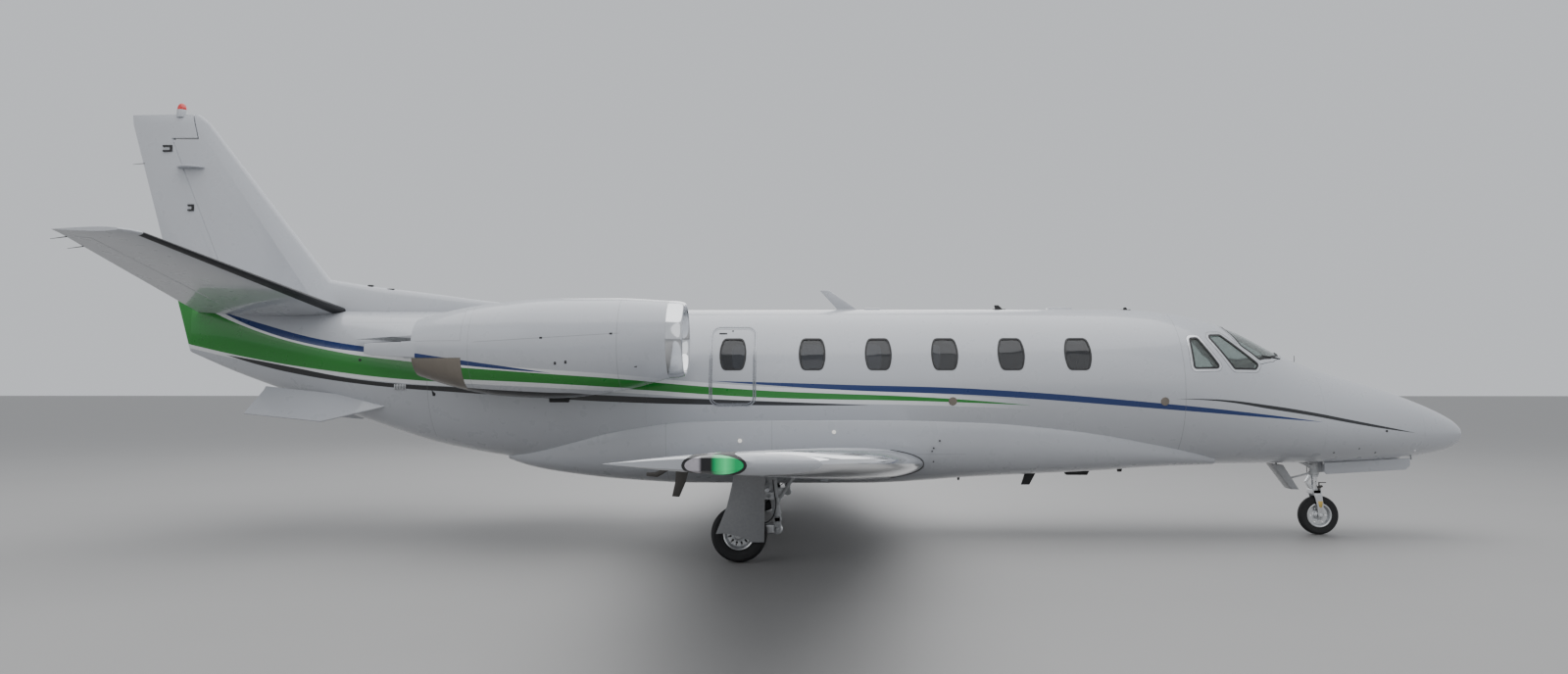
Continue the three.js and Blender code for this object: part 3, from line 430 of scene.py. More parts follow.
# A closed profile of (radius, offset) drawn point by point and spun about an axis.
def spunPiece(name, profile, axis, centre, steps=64, closed=True):
    spread = {"X": lambda r, o: Vector((o, 0, r)), "Y": lambda r, o: Vector((0, o, r)),
        "Z": lambda r, o: Vector((r, 0, o))}[axis]
    turn = {"X": (1, 0, 0), "Y": (0, 1, 0), "Z": (0, 0, 1)}[axis]
    corners = [Vector(centre) + spread(r, o) for r, o in profile]
    piece = drawnLine(name, corners, closed)
    bpy.ops.mesh.spin(steps=steps, angle=2 * math.pi, center=centre, axis=turn)
    closeUp(merge=True)
    return piece


def arc(centre, radii, fromAngle, toAngle, steps):
    turns = [math.radians(fromAngle + (toAngle - fromAngle) * i / steps) for i in range(steps + 1)]
    return [(centre[0] + radii[0] * math.cos(t), centre[1] + radii[1] * math.sin(t)) for t in turns]


# Materials: each is a node tree on the object's own coordinates

def shaded(colour, share):
    return tuple(min(1, v * share) for v in colour)


def newFinish(name, colour, roughness, metallic=0.0, **sockets):
    material = bpy.data.materials.new(name)
    material.use_nodes = True
    shader = material.node_tree.nodes["Principled BSDF"]
    shader.inputs["Base Color"].default_value = (*colour, 1)
    shader.inputs["Roughness"].default_value = roughness
    shader.inputs["Metallic"].default_value = metallic
    for socket, value in sockets.items():
        shader.inputs[socket.replace("_", " ")].default_value = value
    material.diffuse_color = (*colour, 1)
    return material


class Tree:
    def __init__(self, material):
        self.nodes = material.node_tree.nodes
        self.links = material.node_tree.links
        self.shader = self.nodes["Principled BSDF"]
        place = self.nodes.new("ShaderNodeTexCoord")
        parts = self.nodes.new("ShaderNodeSeparateXYZ")
        self.place = place.outputs["Object"]
        self.links.new(self.place, parts.inputs[0])
        self.x, self.y, self.z = parts.outputs
        self.station = self.maths("SUBTRACT", noseX, self.x)

    def plug(self, value, socket):
        if hasattr(value, "node"):
            self.links.new(value, socket)
        else:
            socket.default_value = value

    def maths(self, operation, a, b=0.0, clamp=False):
        node = self.nodes.new("ShaderNodeMath")
        node.operation = operation
        node.use_clamp = clamp
        self.plug(a, node.inputs[0])
        self.plug(b, node.inputs[1])
        return node.outputs[0]

    def times(self, a, b):
        return self.maths("MULTIPLY", a, b)

    def rising(self, value, start, width):
        # 0 below start, and 1 from width above it
        return self.maths("DIVIDE", self.maths("SUBTRACT", value, start), width, clamp=True)

    def between(self, value, low, high, width=0.0015):
        return self.times(self.rising(value, low, width),
            self.maths("SUBTRACT", 1.0, self.rising(value, high, width)))

    def mix(self, share, a, b):
        node = self.nodes.new("ShaderNodeMix")
        node.data_type = "RGBA"
        self.plug(share, node.inputs[0])
        self.plug(a if hasattr(a, "node") else (*a, 1), node.inputs[6])
        self.plug(b if hasattr(b, "node") else (*b, 1), node.inputs[7])
        return node.outputs[2]

    def mixValue(self, share, a, b):
        node = self.nodes.new("ShaderNodeMix")
        self.plug(share, node.inputs[0])
        self.plug(a, node.inputs[2])
        self.plug(b, node.inputs[3])
        return node.outputs[0]

    def give(self, socket, value):
        self.links.new(value, self.shader.inputs[socket])

    def noise(self, scale, detail=3.0, stretch=(1, 1, 1)):
        mapping = self.nodes.new("ShaderNodeMapping")
        mapping.inputs["Scale"].default_value = stretch
        self.links.new(self.place, mapping.inputs["Vector"])
        node = self.nodes.new("ShaderNodeTexNoise")
        node.inputs["Scale"].default_value = scale
        node.inputs["Detail"].default_value = detail
        self.links.new(mapping.outputs[0], node.inputs["Vector"])
        return node.outputs["Fac"]

    def curve(self, points):
        # a height that follows the station through (station, height) points
        node = self.nodes.new("ShaderNodeFloatCurve")
        line = node.mapping.curves[0]
        while len(line.points) < len(points):
            line.points.new(0.5, 0.5)
        for point, (station, height) in zip(line.points, points):
            point.location = (station / curveSpan, height / curveSpan)
        node.mapping.update()
        self.links.new(self.maths("DIVIDE", self.station, curveSpan), node.inputs["Value"])
        return self.times(node.outputs[0], curveSpan)

    def bump(self, height, strength, distance=0.002):
        node = self.nodes.new("ShaderNodeBump")
        node.inputs["Strength"].default_value = strength
        node.inputs["Distance"].default_value = distance
        self.links.new(height, node.inputs["Height"])
        self.give("Normal", node.outputs[0])


curveSpan = 16.5

# Columns: station, lower edge, upper edge, of each stripe along the fuselage.
hullStripes = {
    "blueForward": [(1.90, 1.34, 1.341), (2.52, 1.39, 1.42), (3.62, 1.48, 1.54), (5.76, 1.64, 1.71),
                    (7.28, 1.70, 1.76), (8.28, 1.765, 1.79), (8.75, 1.80, 1.801)],
    "blackForward": [(0.74, 1.21, 1.211), (1.13, 1.26, 1.285), (1.51, 1.32, 1.355), (2.02, 1.41, 1.45),
                     (2.54, 1.49, 1.53), (3.05, 1.57, 1.59), (3.58, 1.60, 1.601)],
    "green": [(5.2, 1.53, 1.531), (6.2, 1.57, 1.61), (8.27, 1.62, 1.70), (9.7, 1.71, 1.81),
              (12.3, 1.82, 2.03), (13.27, 1.92, 2.16), (14.29, 2.07, 2.41), (15.25, 2.26, 2.80)],
    "blueAft": [(11.6, 2.02, 2.021), (12.6, 2.115, 2.17), (13.5, 2.23, 2.31), (14.29, 2.44, 2.51),
                (14.8, 2.65, 2.651)],
    "blackAft": [(7.0, 1.53, 1.531), (8.28, 1.53, 1.58), (9.70, 1.56, 1.63), (11.48, 1.66, 1.72),
                 (12.91, 1.77, 1.82), (13.8, 1.90, 1.97), (14.26, 2.00, 2.05), (14.7, 2.12, 2.121)],
}
nacelleStripes = {
    "green": [(9.0, 1.68, 1.75), (9.55, 1.72, 1.81), (10.37, 1.77, 1.87), (11.2, 1.81, 1.93),
              (11.9, 1.84, 1.98)],
    "blue": [(10.35, 1.88, 1.881), (10.8, 1.915, 1.945), (11.26, 1.96, 2.01), (11.8, 2.02, 2.09)],
    "black": [(9.8, 1.3, 1.61), (10.0, 1.3, 1.655), (10.44, 1.3, 1.676), (10.9, 1.3, 1.70),
        (11.3, 1.3, 1.728)],
}
finStripes = {"green": [(14.29, 2.07, 2.41), (15.25, 2.26, 2.80), (15.45, 2.30, 2.86)]}
# Seams drawn on the side: first and last (station, height), and width.
hullSeams = [((3.481, 0.9), (3.481, 2.62), 0.006), ((12.05, 1.15), (12.05, 2.62), 0.005),
             ((9.62, 2.47), (13.1, 2.50), 0.004)]
nacelleSeams = [((9.65, 1.6), (9.65, 2.7), 0.006), ((9.62, 2.293), (11.15, 2.203), 0.006),
                ((11.21, 1.6), (11.21, 2.7), 0.004)]
fairingSeams = [((9.278, 0.6), (9.278, 1.4), 0.005), ((8.079, 0.6), (8.079, 1.4), 0.005),
                ((5.9, 0.98), (8.0, 0.98), 0.004)]
paintColours = {
    "pearl": (0.47, 0.485, 0.515), "white": (0.74, 0.75, 0.76), "green": (0.003, 0.195, 0.014),
    "blue": (0.003, 0.024, 0.130), "black": (0.006, 0.007, 0.009), "seam": (0.16, 0.165, 0.17),
}
stripeColours = {"blueForward": "blue", "blueAft": "blue", "blue": "blue", "green": "green",
                 "blackForward": "black", "blackAft": "black", "black": "black"}
borderWidth = 0.045


# Pearl paint under clear coat, with its stripes, their white borders and the panel seams.
def paintFinish(name, stripes=None, seams=(), limits=(0.0, 20.0)):
    material = newFinish(name, paintColours["pearl"], 0.28, Coat_Weight=0.5, Coat_Roughness=0.04)
    tree = Tree(material)
    drift = tree.noise(1.3, 4.0)
    colour = tree.mix(drift, paintColours["pearl"], shaded(paintColours["pearl"], 0.965))
    inside = tree.between(tree.station, *limits)
    edges = []
    for stripe, rows in (stripes or {}).items():
        low = tree.curve([(row[0], row[1]) for row in rows])
        high = tree.curve([(row[0], row[2]) for row in rows])
        edges.append((stripe, low, high, rows))
    for stripe, low, high, rows in edges:
        if stripe == "green":
            lowEdge = tree.maths("SUBTRACT", low, borderWidth)
            highEdge = tree.maths("ADD", high, borderWidth)
            share = tree.times(inside, tree.between(tree.z, lowEdge, highEdge, 0.002))
            share = tree.times(share, tree.rising(tree.station, rows[0][0], 1.2))
            colour = tree.mix(share, colour, paintColours["white"])
    for stripe, low, high, rows in edges:
        share = tree.times(inside, tree.between(tree.z, low, high, 0.002))
        share = tree.times(share, tree.between(tree.station, rows[0][0], rows[-1][0]))
        colour = tree.mix(share, colour, paintColours[stripeColours[stripe]])
    for (first, low), (last, high), width in seams:
        if first == last:
            share = tree.times(tree.between(tree.station, first - width / 2, first + width / 2, 0.001),
                tree.between(tree.z, low, high))
        else:
            slope = (high - low) / (last - first)
            line = tree.maths("ADD", tree.times(tree.station, slope), low - slope * first)
            share = tree.times(tree.between(tree.station, first, last),
                tree.between(tree.maths("SUBTRACT", tree.z, line), -width / 2, width / 2, 0.001))
        colour = tree.mix(tree.times(share, 0.55), colour, paintColours["seam"])
    tree.give("Base Color", colour)
    tree.give("Roughness", tree.mixValue(tree.noise(6.0), 0.24, 0.33))
    tree.bump(tree.noise(420.0, 1.0), 0.012, 0.0005)
    return material


def metalFinish(name, colour, roughness, strength, scale, grain=(1, 1, 1)):
    material = newFinish(name, colour, roughness, 1.0)
    tree = Tree(material)
    grainShare = tree.noise(scale, 4.0, grain)
    shade = tree.mix(grainShare, shaded(colour, 0.88), shaded(colour, 1.08))
    tree.give("Base Color", shade)
    tree.give("Roughness", tree.mixValue(grainShare, roughness * 0.75, roughness * 1.3))
    tree.bump(grainShare, strength, 0.001)
    return material


def plasticFinish(name, colour, roughness, scale=40.0, strength=0.08, coat=0.0):
    material = newFinish(name, colour, roughness, 0.0, Coat_Weight=coat)
    tree = Tree(material)
    grain = tree.noise(scale, 3.0)
    tree.give("Base Color", tree.mix(grain, shaded(colour, 0.85), shaded(colour, 1.12)))
    tree.give("Roughness", tree.mixValue(grain, roughness * 0.85, min(1, roughness * 1.15)))
    tree.bump(tree.noise(scale * 8, 2.0), strength, 0.0006)
    return material


finishes = {
    "hullPaint": paintFinish("hullPaint", hullStripes, hullSeams),
    "nacellePaint": paintFinish("nacellePaint", nacelleStripes, nacelleSeams),
    "finPaint": paintFinish("finPaint", finStripes, limits=(14.9, 16.0)),
    "fairingPaint": paintFinish("fairingPaint", seams=fairingSeams),
    "plainPaint": paintFinish("plainPaint"),
}
# Columns: colour, roughness, strength and scale of the grain, and its stretch where it has one.
metals = {
    "polishedMetal": ((0.74, 0.75, 0.77), 0.10, 0.30, 5.0, (1, 0.3, 1)),
    "bareMetal": ((0.30, 0.27, 0.235), 0.22, 0.03, 8.0, (4, 1, 1)),
    "frameMetal": ((0.80, 0.81, 0.83), 0.20, 0.02, 20.0),
    "ringMetal": ((0.30, 0.31, 0.33), 0.26, 0.02, 20.0),
    "brassPlate": ((0.72, 0.52, 0.16), 0.35, 0.02, 40.0),
    "gearSteel": ((0.50, 0.51, 0.52), 0.28, 0.05, 40.0),
    "chromeRod": ((0.85, 0.86, 0.87), 0.06, 0.01, 20.0),
    "wheelAlloy": ((0.68, 0.69, 0.70), 0.3, 0.05, 60.0),
    "darkMetal": ((0.10, 0.095, 0.09), 0.42, 0.08, 30.0),
    "bladeMetal": ((0.42, 0.42, 0.43), 0.25, 0.03, 30.0),
}
# Columns: colour, roughness, scale and strength of the grain, clear coat.
plastics = {
    "gearPaint": ((0.52, 0.53, 0.54), 0.38),
    # painted shade: the gear doors' white paint darkened to grey, as if lying in shadow under the jet
    "paintedShadeDoorPaint": ((0.30, 0.305, 0.315), 0.42, 40.0, 0.08, 0.4),
    "screenGlass": ((0.012, 0.014, 0.018), 0.12, 30.0, 0.0, 1.0),
    "tyreRubber": ((0.016, 0.016, 0.017), 0.72, 60.0, 0.3),
    "sealRubber": ((0.012, 0.012, 0.013), 0.5, 50.0, 0.1),
    "bootRubber": ((0.020, 0.021, 0.024), 0.42, 20.0, 0.08),
    "blackTrim": ((0.015, 0.015, 0.016), 0.55),
    "cabinLining": ((0.52, 0.47, 0.40), 0.75, 25.0, 0.1),
    "carpet": ((0.10, 0.085, 0.07), 0.95, 120.0, 0.5),
    "panelPlastic": ((0.03, 0.032, 0.035), 0.6, 60.0, 0.1),
    "seatLeather": ((0.50, 0.43, 0.33), 0.55, 60.0, 0.35),
}
finishes.update({name: metalFinish(name, *look) for name, look in metals.items()})
finishes.update({name: plasticFinish(name, *look) for name, look in plastics.items()})


def glassFinish(name, colour, **sockets):
    material = newFinish(name, colour, 0.03, 0.0, IOR=1.5, Transmission_Weight=0.92, **sockets)
    tree = Tree(material)
    smear = tree.noise(9.0, 3.0)
    tree.give("Roughness", tree.mixValue(smear, 0.02, 0.06))
    tree.give("Base Color", tree.mix(smear, colour, shaded(colour, 0.93)))
    return material


def lampFinish(name, colour, glow):
    material = newFinish(name, colour, 0.08, 0.0, Coat_Weight=0.6, Emission_Color=(*colour, 1),
        Emission_Strength=glow)
    tree = Tree(material)
    ribs = tree.noise(60.0, 2.0)
    tree.give("Base Color", tree.mix(ribs, colour, shaded(colour, 0.7)))
    tree.bump(ribs, 0.1, 0.001)
    return material


# A wing tip lens: coloured and lit at its front, dark in its middle and clear behind.
def tipLampFinish(name, colour):
    material = newFinish(name, colour, 0.16, 0.0, Emission_Strength=1.0)
    tree = Tree(material)
    clear = tree.mix(tree.noise(60.0, 2.0), (0.55, 0.52, 0.56), (0.40, 0.38, 0.42))
    shade = tree.mix(tree.rising(tree.station, tipLamp["lit"], 0.02), colour, (0.02, 0.02, 0.022))
    shade = tree.mix(tree.rising(tree.station, tipLamp["clear"], 0.015), shade, clear)
    tree.give("Base Color", shade)
    away = tree.times(tree.maths("ABSOLUTE", tree.maths("SUBTRACT", tree.station, tipLamp["bulb"])), 22.0)
    glow = tree.maths("SUBTRACT", 1.0, away, clamp=True)
    lit = tree.mix(tree.rising(tree.station, tipLamp["lit"], 0.02), shaded(colour, 0.5), (0.0, 0.0, 0.0))
    tree.give("Emission Color", tree.mix(glow, lit, tuple(v * 1.6 + 0.05 for v in colour)))
    return material


tipLamp = {"station": (7.905, 8.165), "z": 1.393, "high": 0.045, "bezel": 0.014, "lit": 8.03, "clear": 8.09,
           "bulb": 7.985}
finishes["cabinGlass"] = glassFinish("cabinGlass", (0.16, 0.17, 0.19))
finishes["cockpitGlass"] = glassFinish("cockpitGlass", (0.55, 0.62, 0.60))
finishes["greenLamp"] = tipLampFinish("greenLamp", (0.0, 0.30, 0.09))
finishes["redLamp"] = tipLampFinish("redLamp", (0.42, 0.0, 0.005))
finishes["beaconLamp"] = lampFinish("beaconLamp", (0.50, 0.012, 0.012), 0.35)
finishes["clearLamp"] = lampFinish("clearLamp", (0.80, 0.78, 0.72), 0.6)
print("finishes made")


# Finishes a piece: smooth shading, its finish and its body, and hides the parts it replaces.
def deliver(piece, finish, body="airframe", replaces=(), smooth=30):
    activate(piece)
    if smooth:
        bpy.ops.object.shade_smooth_by_angle(angle=math.radians(smooth))
    if not piece.data.materials:
        piece.data.materials.append(finishes[finish])
    else:
        piece.data.materials[0] = finishes[finish]
    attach(piece, body)
    if replaces:
        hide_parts(*replaces)
    return piece


# Delivers a right-hand piece and its mirrored twin; a body or a node with sides is named without its side.
def deliverPair(piece, finish, slotName, node=None, body="airframe"):
    pair = (piece, mirrored(piece, piece.name.replace("right", "left")))
    for one, side in zip(pair, ("right", "left")):
        deliver(one, finish, body if body == "airframe" else f"{body}_{side}",
            [f"{node}_{side}"] if node else ())
    return pair


def addFinish(piece, finish, test):
    # a second finish on the faces that pass the test
    piece.data.materials.append(finishes[finish])
    index = len(piece.data.materials) - 1
    for face in piece.data.polygons:
        if test(face):
            face.material_index = index


# Stage, light and camera

camera = {"place": (0.41, -13.53, 1.738), "tilt": 2.53, "turn": 1.60, "lens": 25.85, "sensor": 36.0}


def makeCamera():
    data = bpy.data.cameras.new("camera")
    data.lens, data.sensor_width = camera["lens"], camera["sensor"]
    data.clip_end = 500
    eye = bpy.data.objects.new("camera", data)
    eye.location = camera["place"]
    eye.rotation_euler = (math.radians(90 + camera["tilt"]), 0, math.radians(camera["turn"]))
    bpy.context.scene.collection.objects.link(eye)
    bpy.context.scene.camera = eye


studio = {"floorSize": 400.0, "floorColour": (0.34, 0.335, 0.33), "sky": (0.66, 0.68, 0.71),
    "skyStrength": 1.0}
# Columns: name, place, size, power, all aimed at the middle of the jet.
studioLights = [
    ("overheadLight", (0, 0, 16), 26.0, 3000),
    ("frontLight", (7, -20, 12), 18.0, 500),
    ("tailLight", (-14, -14, 10), 14.0, 300),
    ("farLight", (0, 18, 10), 14.0, 700),
]


def makeStudio():
    deselectAll()
    bpy.ops.mesh.primitive_plane_add(size=studio["floorSize"], location=(0, 0, -0.001))
    floor = newest("floor")
    material = newFinish("floorFinish", studio["floorColour"], 0.55)
    tree = Tree(material)
    tree.give("Base Color", tree.mix(tree.noise(0.6, 5.0), studio["floorColour"],
        shaded(studio["floorColour"], 0.94)))
    floor.data.materials.append(material)
    world = bpy.data.worlds.new("studio")
    world.use_nodes = True
    world.node_tree.nodes["Background"].inputs[0].default_value = (*studio["sky"], 1)
    world.node_tree.nodes["Background"].inputs[1].default_value = studio["skyStrength"]
    bpy.context.scene.world = world
    for name, place, size, power in studioLights:
        data = bpy.data.lights.new(name, "AREA")
        data.shape = "DISK"
        data.size, data.energy = size, power
        lamp = bpy.data.objects.new(name, data)
        lamp.location = place
        lamp.rotation_euler = (Vector((0, 0, 1.5)) - Vector(place)).to_track_quat("-Z", "Y").to_euler()
        bpy.context.scene.collection.objects.link(lamp)


makeCamera()
makeStudio()
print("camera and studio ready")


# Fuselage

# Columns: station, top, bottom, half width, height of the widest place.
hullTable = [
    (0.0, 1.195, 1.165, 0.015, 1.180),
    (0.06, 1.300, 1.062, 0.130, 1.185),
    (0.25, 1.425, 0.985, 0.250, 1.190),
    (0.55, 1.562, 0.928, 0.365, 1.200),
    (1.0, 1.725, 0.882, 0.500, 1.215),
    (1.45, 1.856, 0.858, 0.612, 1.240),
    (1.86, 1.998, 0.845, 0.702, 1.280),
    (2.24, 2.170, 0.840, 0.772, 1.360),
    (2.64, 2.385, 0.835, 0.832, 1.470),
    (3.12, 2.550, 0.828, 0.884, 1.600),
    (3.7, 2.642, 0.812, 0.918, 1.700),
    (4.2, 2.660, 0.800, 0.930, 1.730),
    (9.5, 2.660, 0.800, 0.930, 1.730),
    (10.2, 2.660, 0.812, 0.915, 1.745),
    (11.0, 2.655, 0.875, 0.860, 1.800),
    (12.0, 2.650, 1.040, 0.720, 1.900),
    (13.0, 2.660, 1.345, 0.525, 2.040),
    (14.0, 2.690, 1.690, 0.330, 2.230),
    (14.7, 2.715, 1.945, 0.170, 2.380),
    (15.2, 2.730, 2.160, 0.028, 2.450),
]
hull = {"radomeEnd": 0.6, "cockpitFront": 1.85, "cabinFront": 4.2, "cabinEnd": 9.5, "tailEnd": 15.2,
    "wall": 0.06, "roomFront": 1.95, "roomBack": 9.41, "noseRound": 0.06, "noseTip": 1.18}


def hullShape(station):
    if station < hull["noseRound"]:  # the tip is a round cap, full width like the square root
        share = math.sqrt(station / hull["noseRound"])
        top, bottom, half, wide = hullTable[1][1:]
        tip = hull["noseTip"]
        return (tip + (top - tip) * share, tip - (tip - bottom) * share, half * share,
            tip + (wide - tip) * share)
    return tuple(smoothColumn(hullTable, column, station) for column in (1, 2, 3, 4))


def hullPoint(station, height, sign=-1, proud=0.0):
    # the place on the skin at a station and a height
    top, bottom, half, wide = hullShape(station)
    reach = (top - wide) if height > wide else (wide - bottom)
    across = half * math.sqrt(max(0.0, 1 - ((height - wide) / reach) ** 2))
    return Vector(at(station, sign * (across + proud), height))


def hullLoft(name, stations, inset=0.0, sides=64):
    return skinLoft(name, stations, hullShape, inset, sides=sides)


radomeStations = [0.0004, 0.004, 0.012, 0.025, 0.04, 0.06, 0.09, 0.13, 0.18, 0.25, 0.34, 0.44, 0.52, 0.6]
cabinStations = (evenly(hull["cockpitFront"], hull["cabinFront"], 0.11)
                 + evenly(hull["cabinFront"], hull["cabinEnd"], 0.265)[1:])
tailStations = evenly(hull["cabinEnd"], hull["tailEnd"], 0.19)

windowShape = {"halfWidth": 0.136, "halfEllipse": 0.2435, "halfHeight": 0.168, "corner": 0.022, "z": 2.105,
               "first": 4.655, "pitch": 0.743, "count": 5, "exit": 8.52}
windowStations = [windowShape["first"] + i * windowShape["pitch"] for i in range(windowShape["count"])]
windowStations.append(windowShape["exit"])
exitDoor = {"station": 8.52, "z": 1.975, "width": 0.48, "height": 0.87, "radius": 0.085}
entryDoor = {"station": 3.88, "z": 1.675, "width": 0.64, "height": 1.40, "radius": 0.11, "lowRadius": 0.03,
             "steps": (0.16, 0.43, 0.7), "hinge": (0.561, 0.981), "pinReach": 0.346}
# Cockpit panes: two seen from the side as (station, z), and the windscreen seen from above as (station, y).
cockpitPanes = {
    "quarter": [(3.27, 2.287), (3.355, 2.282), (3.36, 1.950), (3.070, 1.955)],
    "side": [(2.96, 2.325), (3.12, 2.32), (2.89, 1.945), (2.64, 1.942), (2.595, 1.99)],
    "screen": [(2.16, 0.028), (2.80, 0.028), (2.83, 0.27), (2.735, 0.54), (2.56, 0.605), (2.40, 0.50),
        (2.25, 0.33)],
}


def windowOutline(grow=0.0):
    # a barrel: an ellipse cut flat at its top and bottom, with its corners rounded
    shape = windowShape
    reach = math.degrees(math.asin(shape["halfHeight"] / shape["halfEllipse"]))
    steps = 8
    right = arc((0, 0), (shape["halfWidth"], shape["halfEllipse"]), -reach, reach, steps)
    left = arc((0, 0), (shape["halfWidth"], shape["halfEllipse"]), 180 - reach, 180 + reach, steps)
    return grownOutline(softCorners(right + left, shape["corner"], 30), grow)


def softCorners(outline, radius, angle):
    # rounds only the corners that turn by more than the angle
    points = [Vector(p) for p in outline]
    made = []
    for i, point in enumerate(points):
        before, after = points[i - 1], points[(i + 1) % len(points)]
        turn = math.degrees((point - before).angle(after - point))
        if turn < angle:
            made.append(tuple(point))
            continue
        made += [
            tuple(point + (before - point).normalized() * radius),
            tuple(point + ((before - point).normalized() + (after - point).normalized()) * radius * 0.3),
            tuple(point + (after - point).normalized() * radius)]
    return made


def doorOutline(door, grow=0.0):
    w, h, r = door["width"] / 2 + grow, door["height"] / 2 + grow, door["radius"] + grow
    low = door.get("lowRadius", door["radius"]) + grow
    corners = [((w - r, h - r), r, 0), ((r - w, h - r), r, 90), ((low - w, low - h), low, 180),
        ((w - low, low - h), low, 270)]
    return [p for centre, radius, start in corners for p in arc(centre, (radius, radius), start, start + 90,
        8)]


sideReach = (0.42, 1.1)  # from the middle, through one side of the fuselage


def sideSpan(sign, reach=sideReach):
    return (reach[0], reach[1]) if sign > 0 else (-reach[1], -reach[0])


def sidePlate(name, outline, station, z, sign, reach=sideReach):
    # an outline of (along X, up) about a place, pulled through one side of the fuselage
    return outlinePlate(name, [(atStation(station) + u, z + v) for u, v in outline], "Y",
        *sideSpan(sign, reach))


def doorBlock(door, sign, grow=0.0, reach=sideReach):
    return sidePlate("doorCut", doorOutline(door, grow), door["station"], door["z"], sign, reach)


def windowBlocks(name, grow, signs=(-1, 1), stations=None):
    stations = stations or windowStations
    first = sidePlate(name, windowOutline(grow), stations[0], windowShape["z"], signs[0])
    blocks = [first] + [duplicateOf(first, name, move=(stations[0] - s, 0, 0)) for s in stations[1:]]
    if len(signs) > 1:
        blocks = bothSides(blocks)
    return joinAll(name, blocks)


def paneBlock(name, pane, sign, grow):
    outline = [at(s, v if pane != "screen" else v * sign) for s, v in cockpitPanes[pane]]
    outline = grownOutline(roundedCorners(outline, 0.022, 3), grow)
    if pane == "screen":
        return outlinePlate(name, outline, "Z", 1.72, 2.8)
    return outlinePlate(name, outline, "Y", *sideSpan(sign))


def wellBlock(name):
    return box(name, at(2.3, -0.13, 0.6), at(0.64, 0.13, 1.1))


def makeFuselage():
    radome = hullLoft("radomeShell", radomeStations)
    deliver(radome, "hullPaint", replaces=["radome"])

    nose = hullLoft("noseShell", evenly(hull["radomeEnd"] + panelGap, hull["cockpitFront"], 0.083))
    cutAway(nose, wellBlock("well"))
    deliver(nose, "hullPaint", replaces=["nose_section"])

    cabin = hullLoft("cabinShell", [cabinStations[0] + panelGap] + cabinStations[1:])
    room = hullLoft("room", [hull["roomFront"]] + [s for s in cabinStations if 2.0 < s < 9.3]
        + [hull["roomBack"]], hull["wall"])
    cutAway(room, box("footwell", at(2.5, -1, 0.5), at(1.8, 1, 1.18)))
    cuts = [room, windowBlocks("windowCuts", 0.0), wellBlock("well")]
    cuts += [paneBlock("paneCut", pane, sign, 0.0) for pane in cockpitPanes for sign in (-1, 1)]
    cuts += [doorBlock(exitDoor, -1, 0.003), doorBlock(entryDoor, 1, 0.008, (0.40, 1.1))]
    cutAway(cabin, *cuts)
    deliver(cabin, "hullPaint", replaces=["cabin_shell"])
    addFinish(cabin, "cabinLining", isInside)

    tail = hullLoft("tailShell", [tailStations[0] + panelGap] + tailStations[1:])
    deliver(tail, "hullPaint", replaces=["tailcone"])


def isInside(face):
    # a face of the cabin's inner wall
    top, bottom, half, wide = hullShape(noseX - face.center.x)
    reach = (top - wide) if face.center.z > wide else (wide - bottom)
    depth = math.hypot(face.center.y / half, (face.center.z - wide) / reach)
    return depth < 0.965 and 1.9 < noseX - face.center.x < 9.45 and face.center.z > 0.86


makeFuselage()
print("fuselage done")


# Doors, windows and cockpit

def skinLayer(name, stations, outside, inside):
    layer = hullLoft(name, stations, outside)
    inner = [stations[0] - 0.01] + stations[1:-1] + [stations[-1] + 0.01]
    return cutAway(layer, hullLoft("inner", inner, inside))


trim = {"sealWidth": 0.016, "sealProud": 0.003, "frameWidth": 0.042, "glassDepth": 0.005,
        "glassThickness": 0.008}


def stationsFrom(first, last):
    return [s for s in cabinStations if first - 1e-6 <= s <= last + 1e-6]


def makeWindows():
    stations = stationsFrom(hull["cabinFront"], hull["cabinEnd"])
    pane = skinLayer("pane", stations, trim["glassDepth"], trim["glassDepth"] + trim["glassThickness"])
    seal = skinLayer("seal", stations, -trim["sealProud"], 0.012)
    for sign in (-1, 1):
        name = sideNames[sign]
        glass = duplicateOf(pane, f"cabinPanes_{name}")
        overlapOf(glass, windowBlocks("cut", -0.001, [sign]))
        deliver(glass, "cabinGlass", replaces=[f"cabin_windows_{name}"])
        ring = duplicateOf(seal, f"windowSeals_{name}")
        overlapOf(ring, windowBlocks("cut", trim["sealWidth"], [sign]))
        cutAway(ring, windowBlocks("cut", -0.002, [sign]))
        deliver(ring, "sealRubber")
    remove(pane, seal)


def makeCockpitGlass():
    stations = evenly(1.85, 3.62, 0.11)
    # columns: layer, its outer and inner depth in the skin, growth of each pane's outline outside and inside
    layers = [("cockpitPanes", trim["glassDepth"], trim["glassDepth"] + 0.014, -0.001, None),
        ("cockpitSeals", -trim["sealProud"], 0.012, trim["sealWidth"], -0.006),
        ("cockpitFrames", -0.002, 0.010, trim["frameWidth"], trim["sealWidth"] - 0.002),
        ("cockpitSeams", -0.001, 0.008, trim["frameWidth"] + 0.005, trim["frameWidth"] - 0.001)]
    looks = {"cockpitPanes": ("cockpitGlass", "tinted_glass", ["cockpit_glass"]),
        "cockpitSeals": ("sealRubber", "tinted_glass", ()),
        "cockpitFrames": ("frameMetal", "bare_metal", ()), "cockpitSeams": ("ringMetal", "bare_metal", ())}
    for name, outside, inside, grown, shrunk in layers:
        layer = skinLayer(name, stations, outside, inside)
        parts = []
        for pane in cockpitPanes:
            part = duplicateOf(layer, name)
            overlapOf(part, paneBlock("cut", pane, -1, grown))
            if shrunk is not None:
                cutAway(part, paneBlock("cut", pane, -1, shrunk))
            parts += [part, mirrored(part, name)]
        remove(layer)
        finish, slotName, replaces = looks[name]
        deliver(joinAll(name, parts), finish, replaces=replaces)


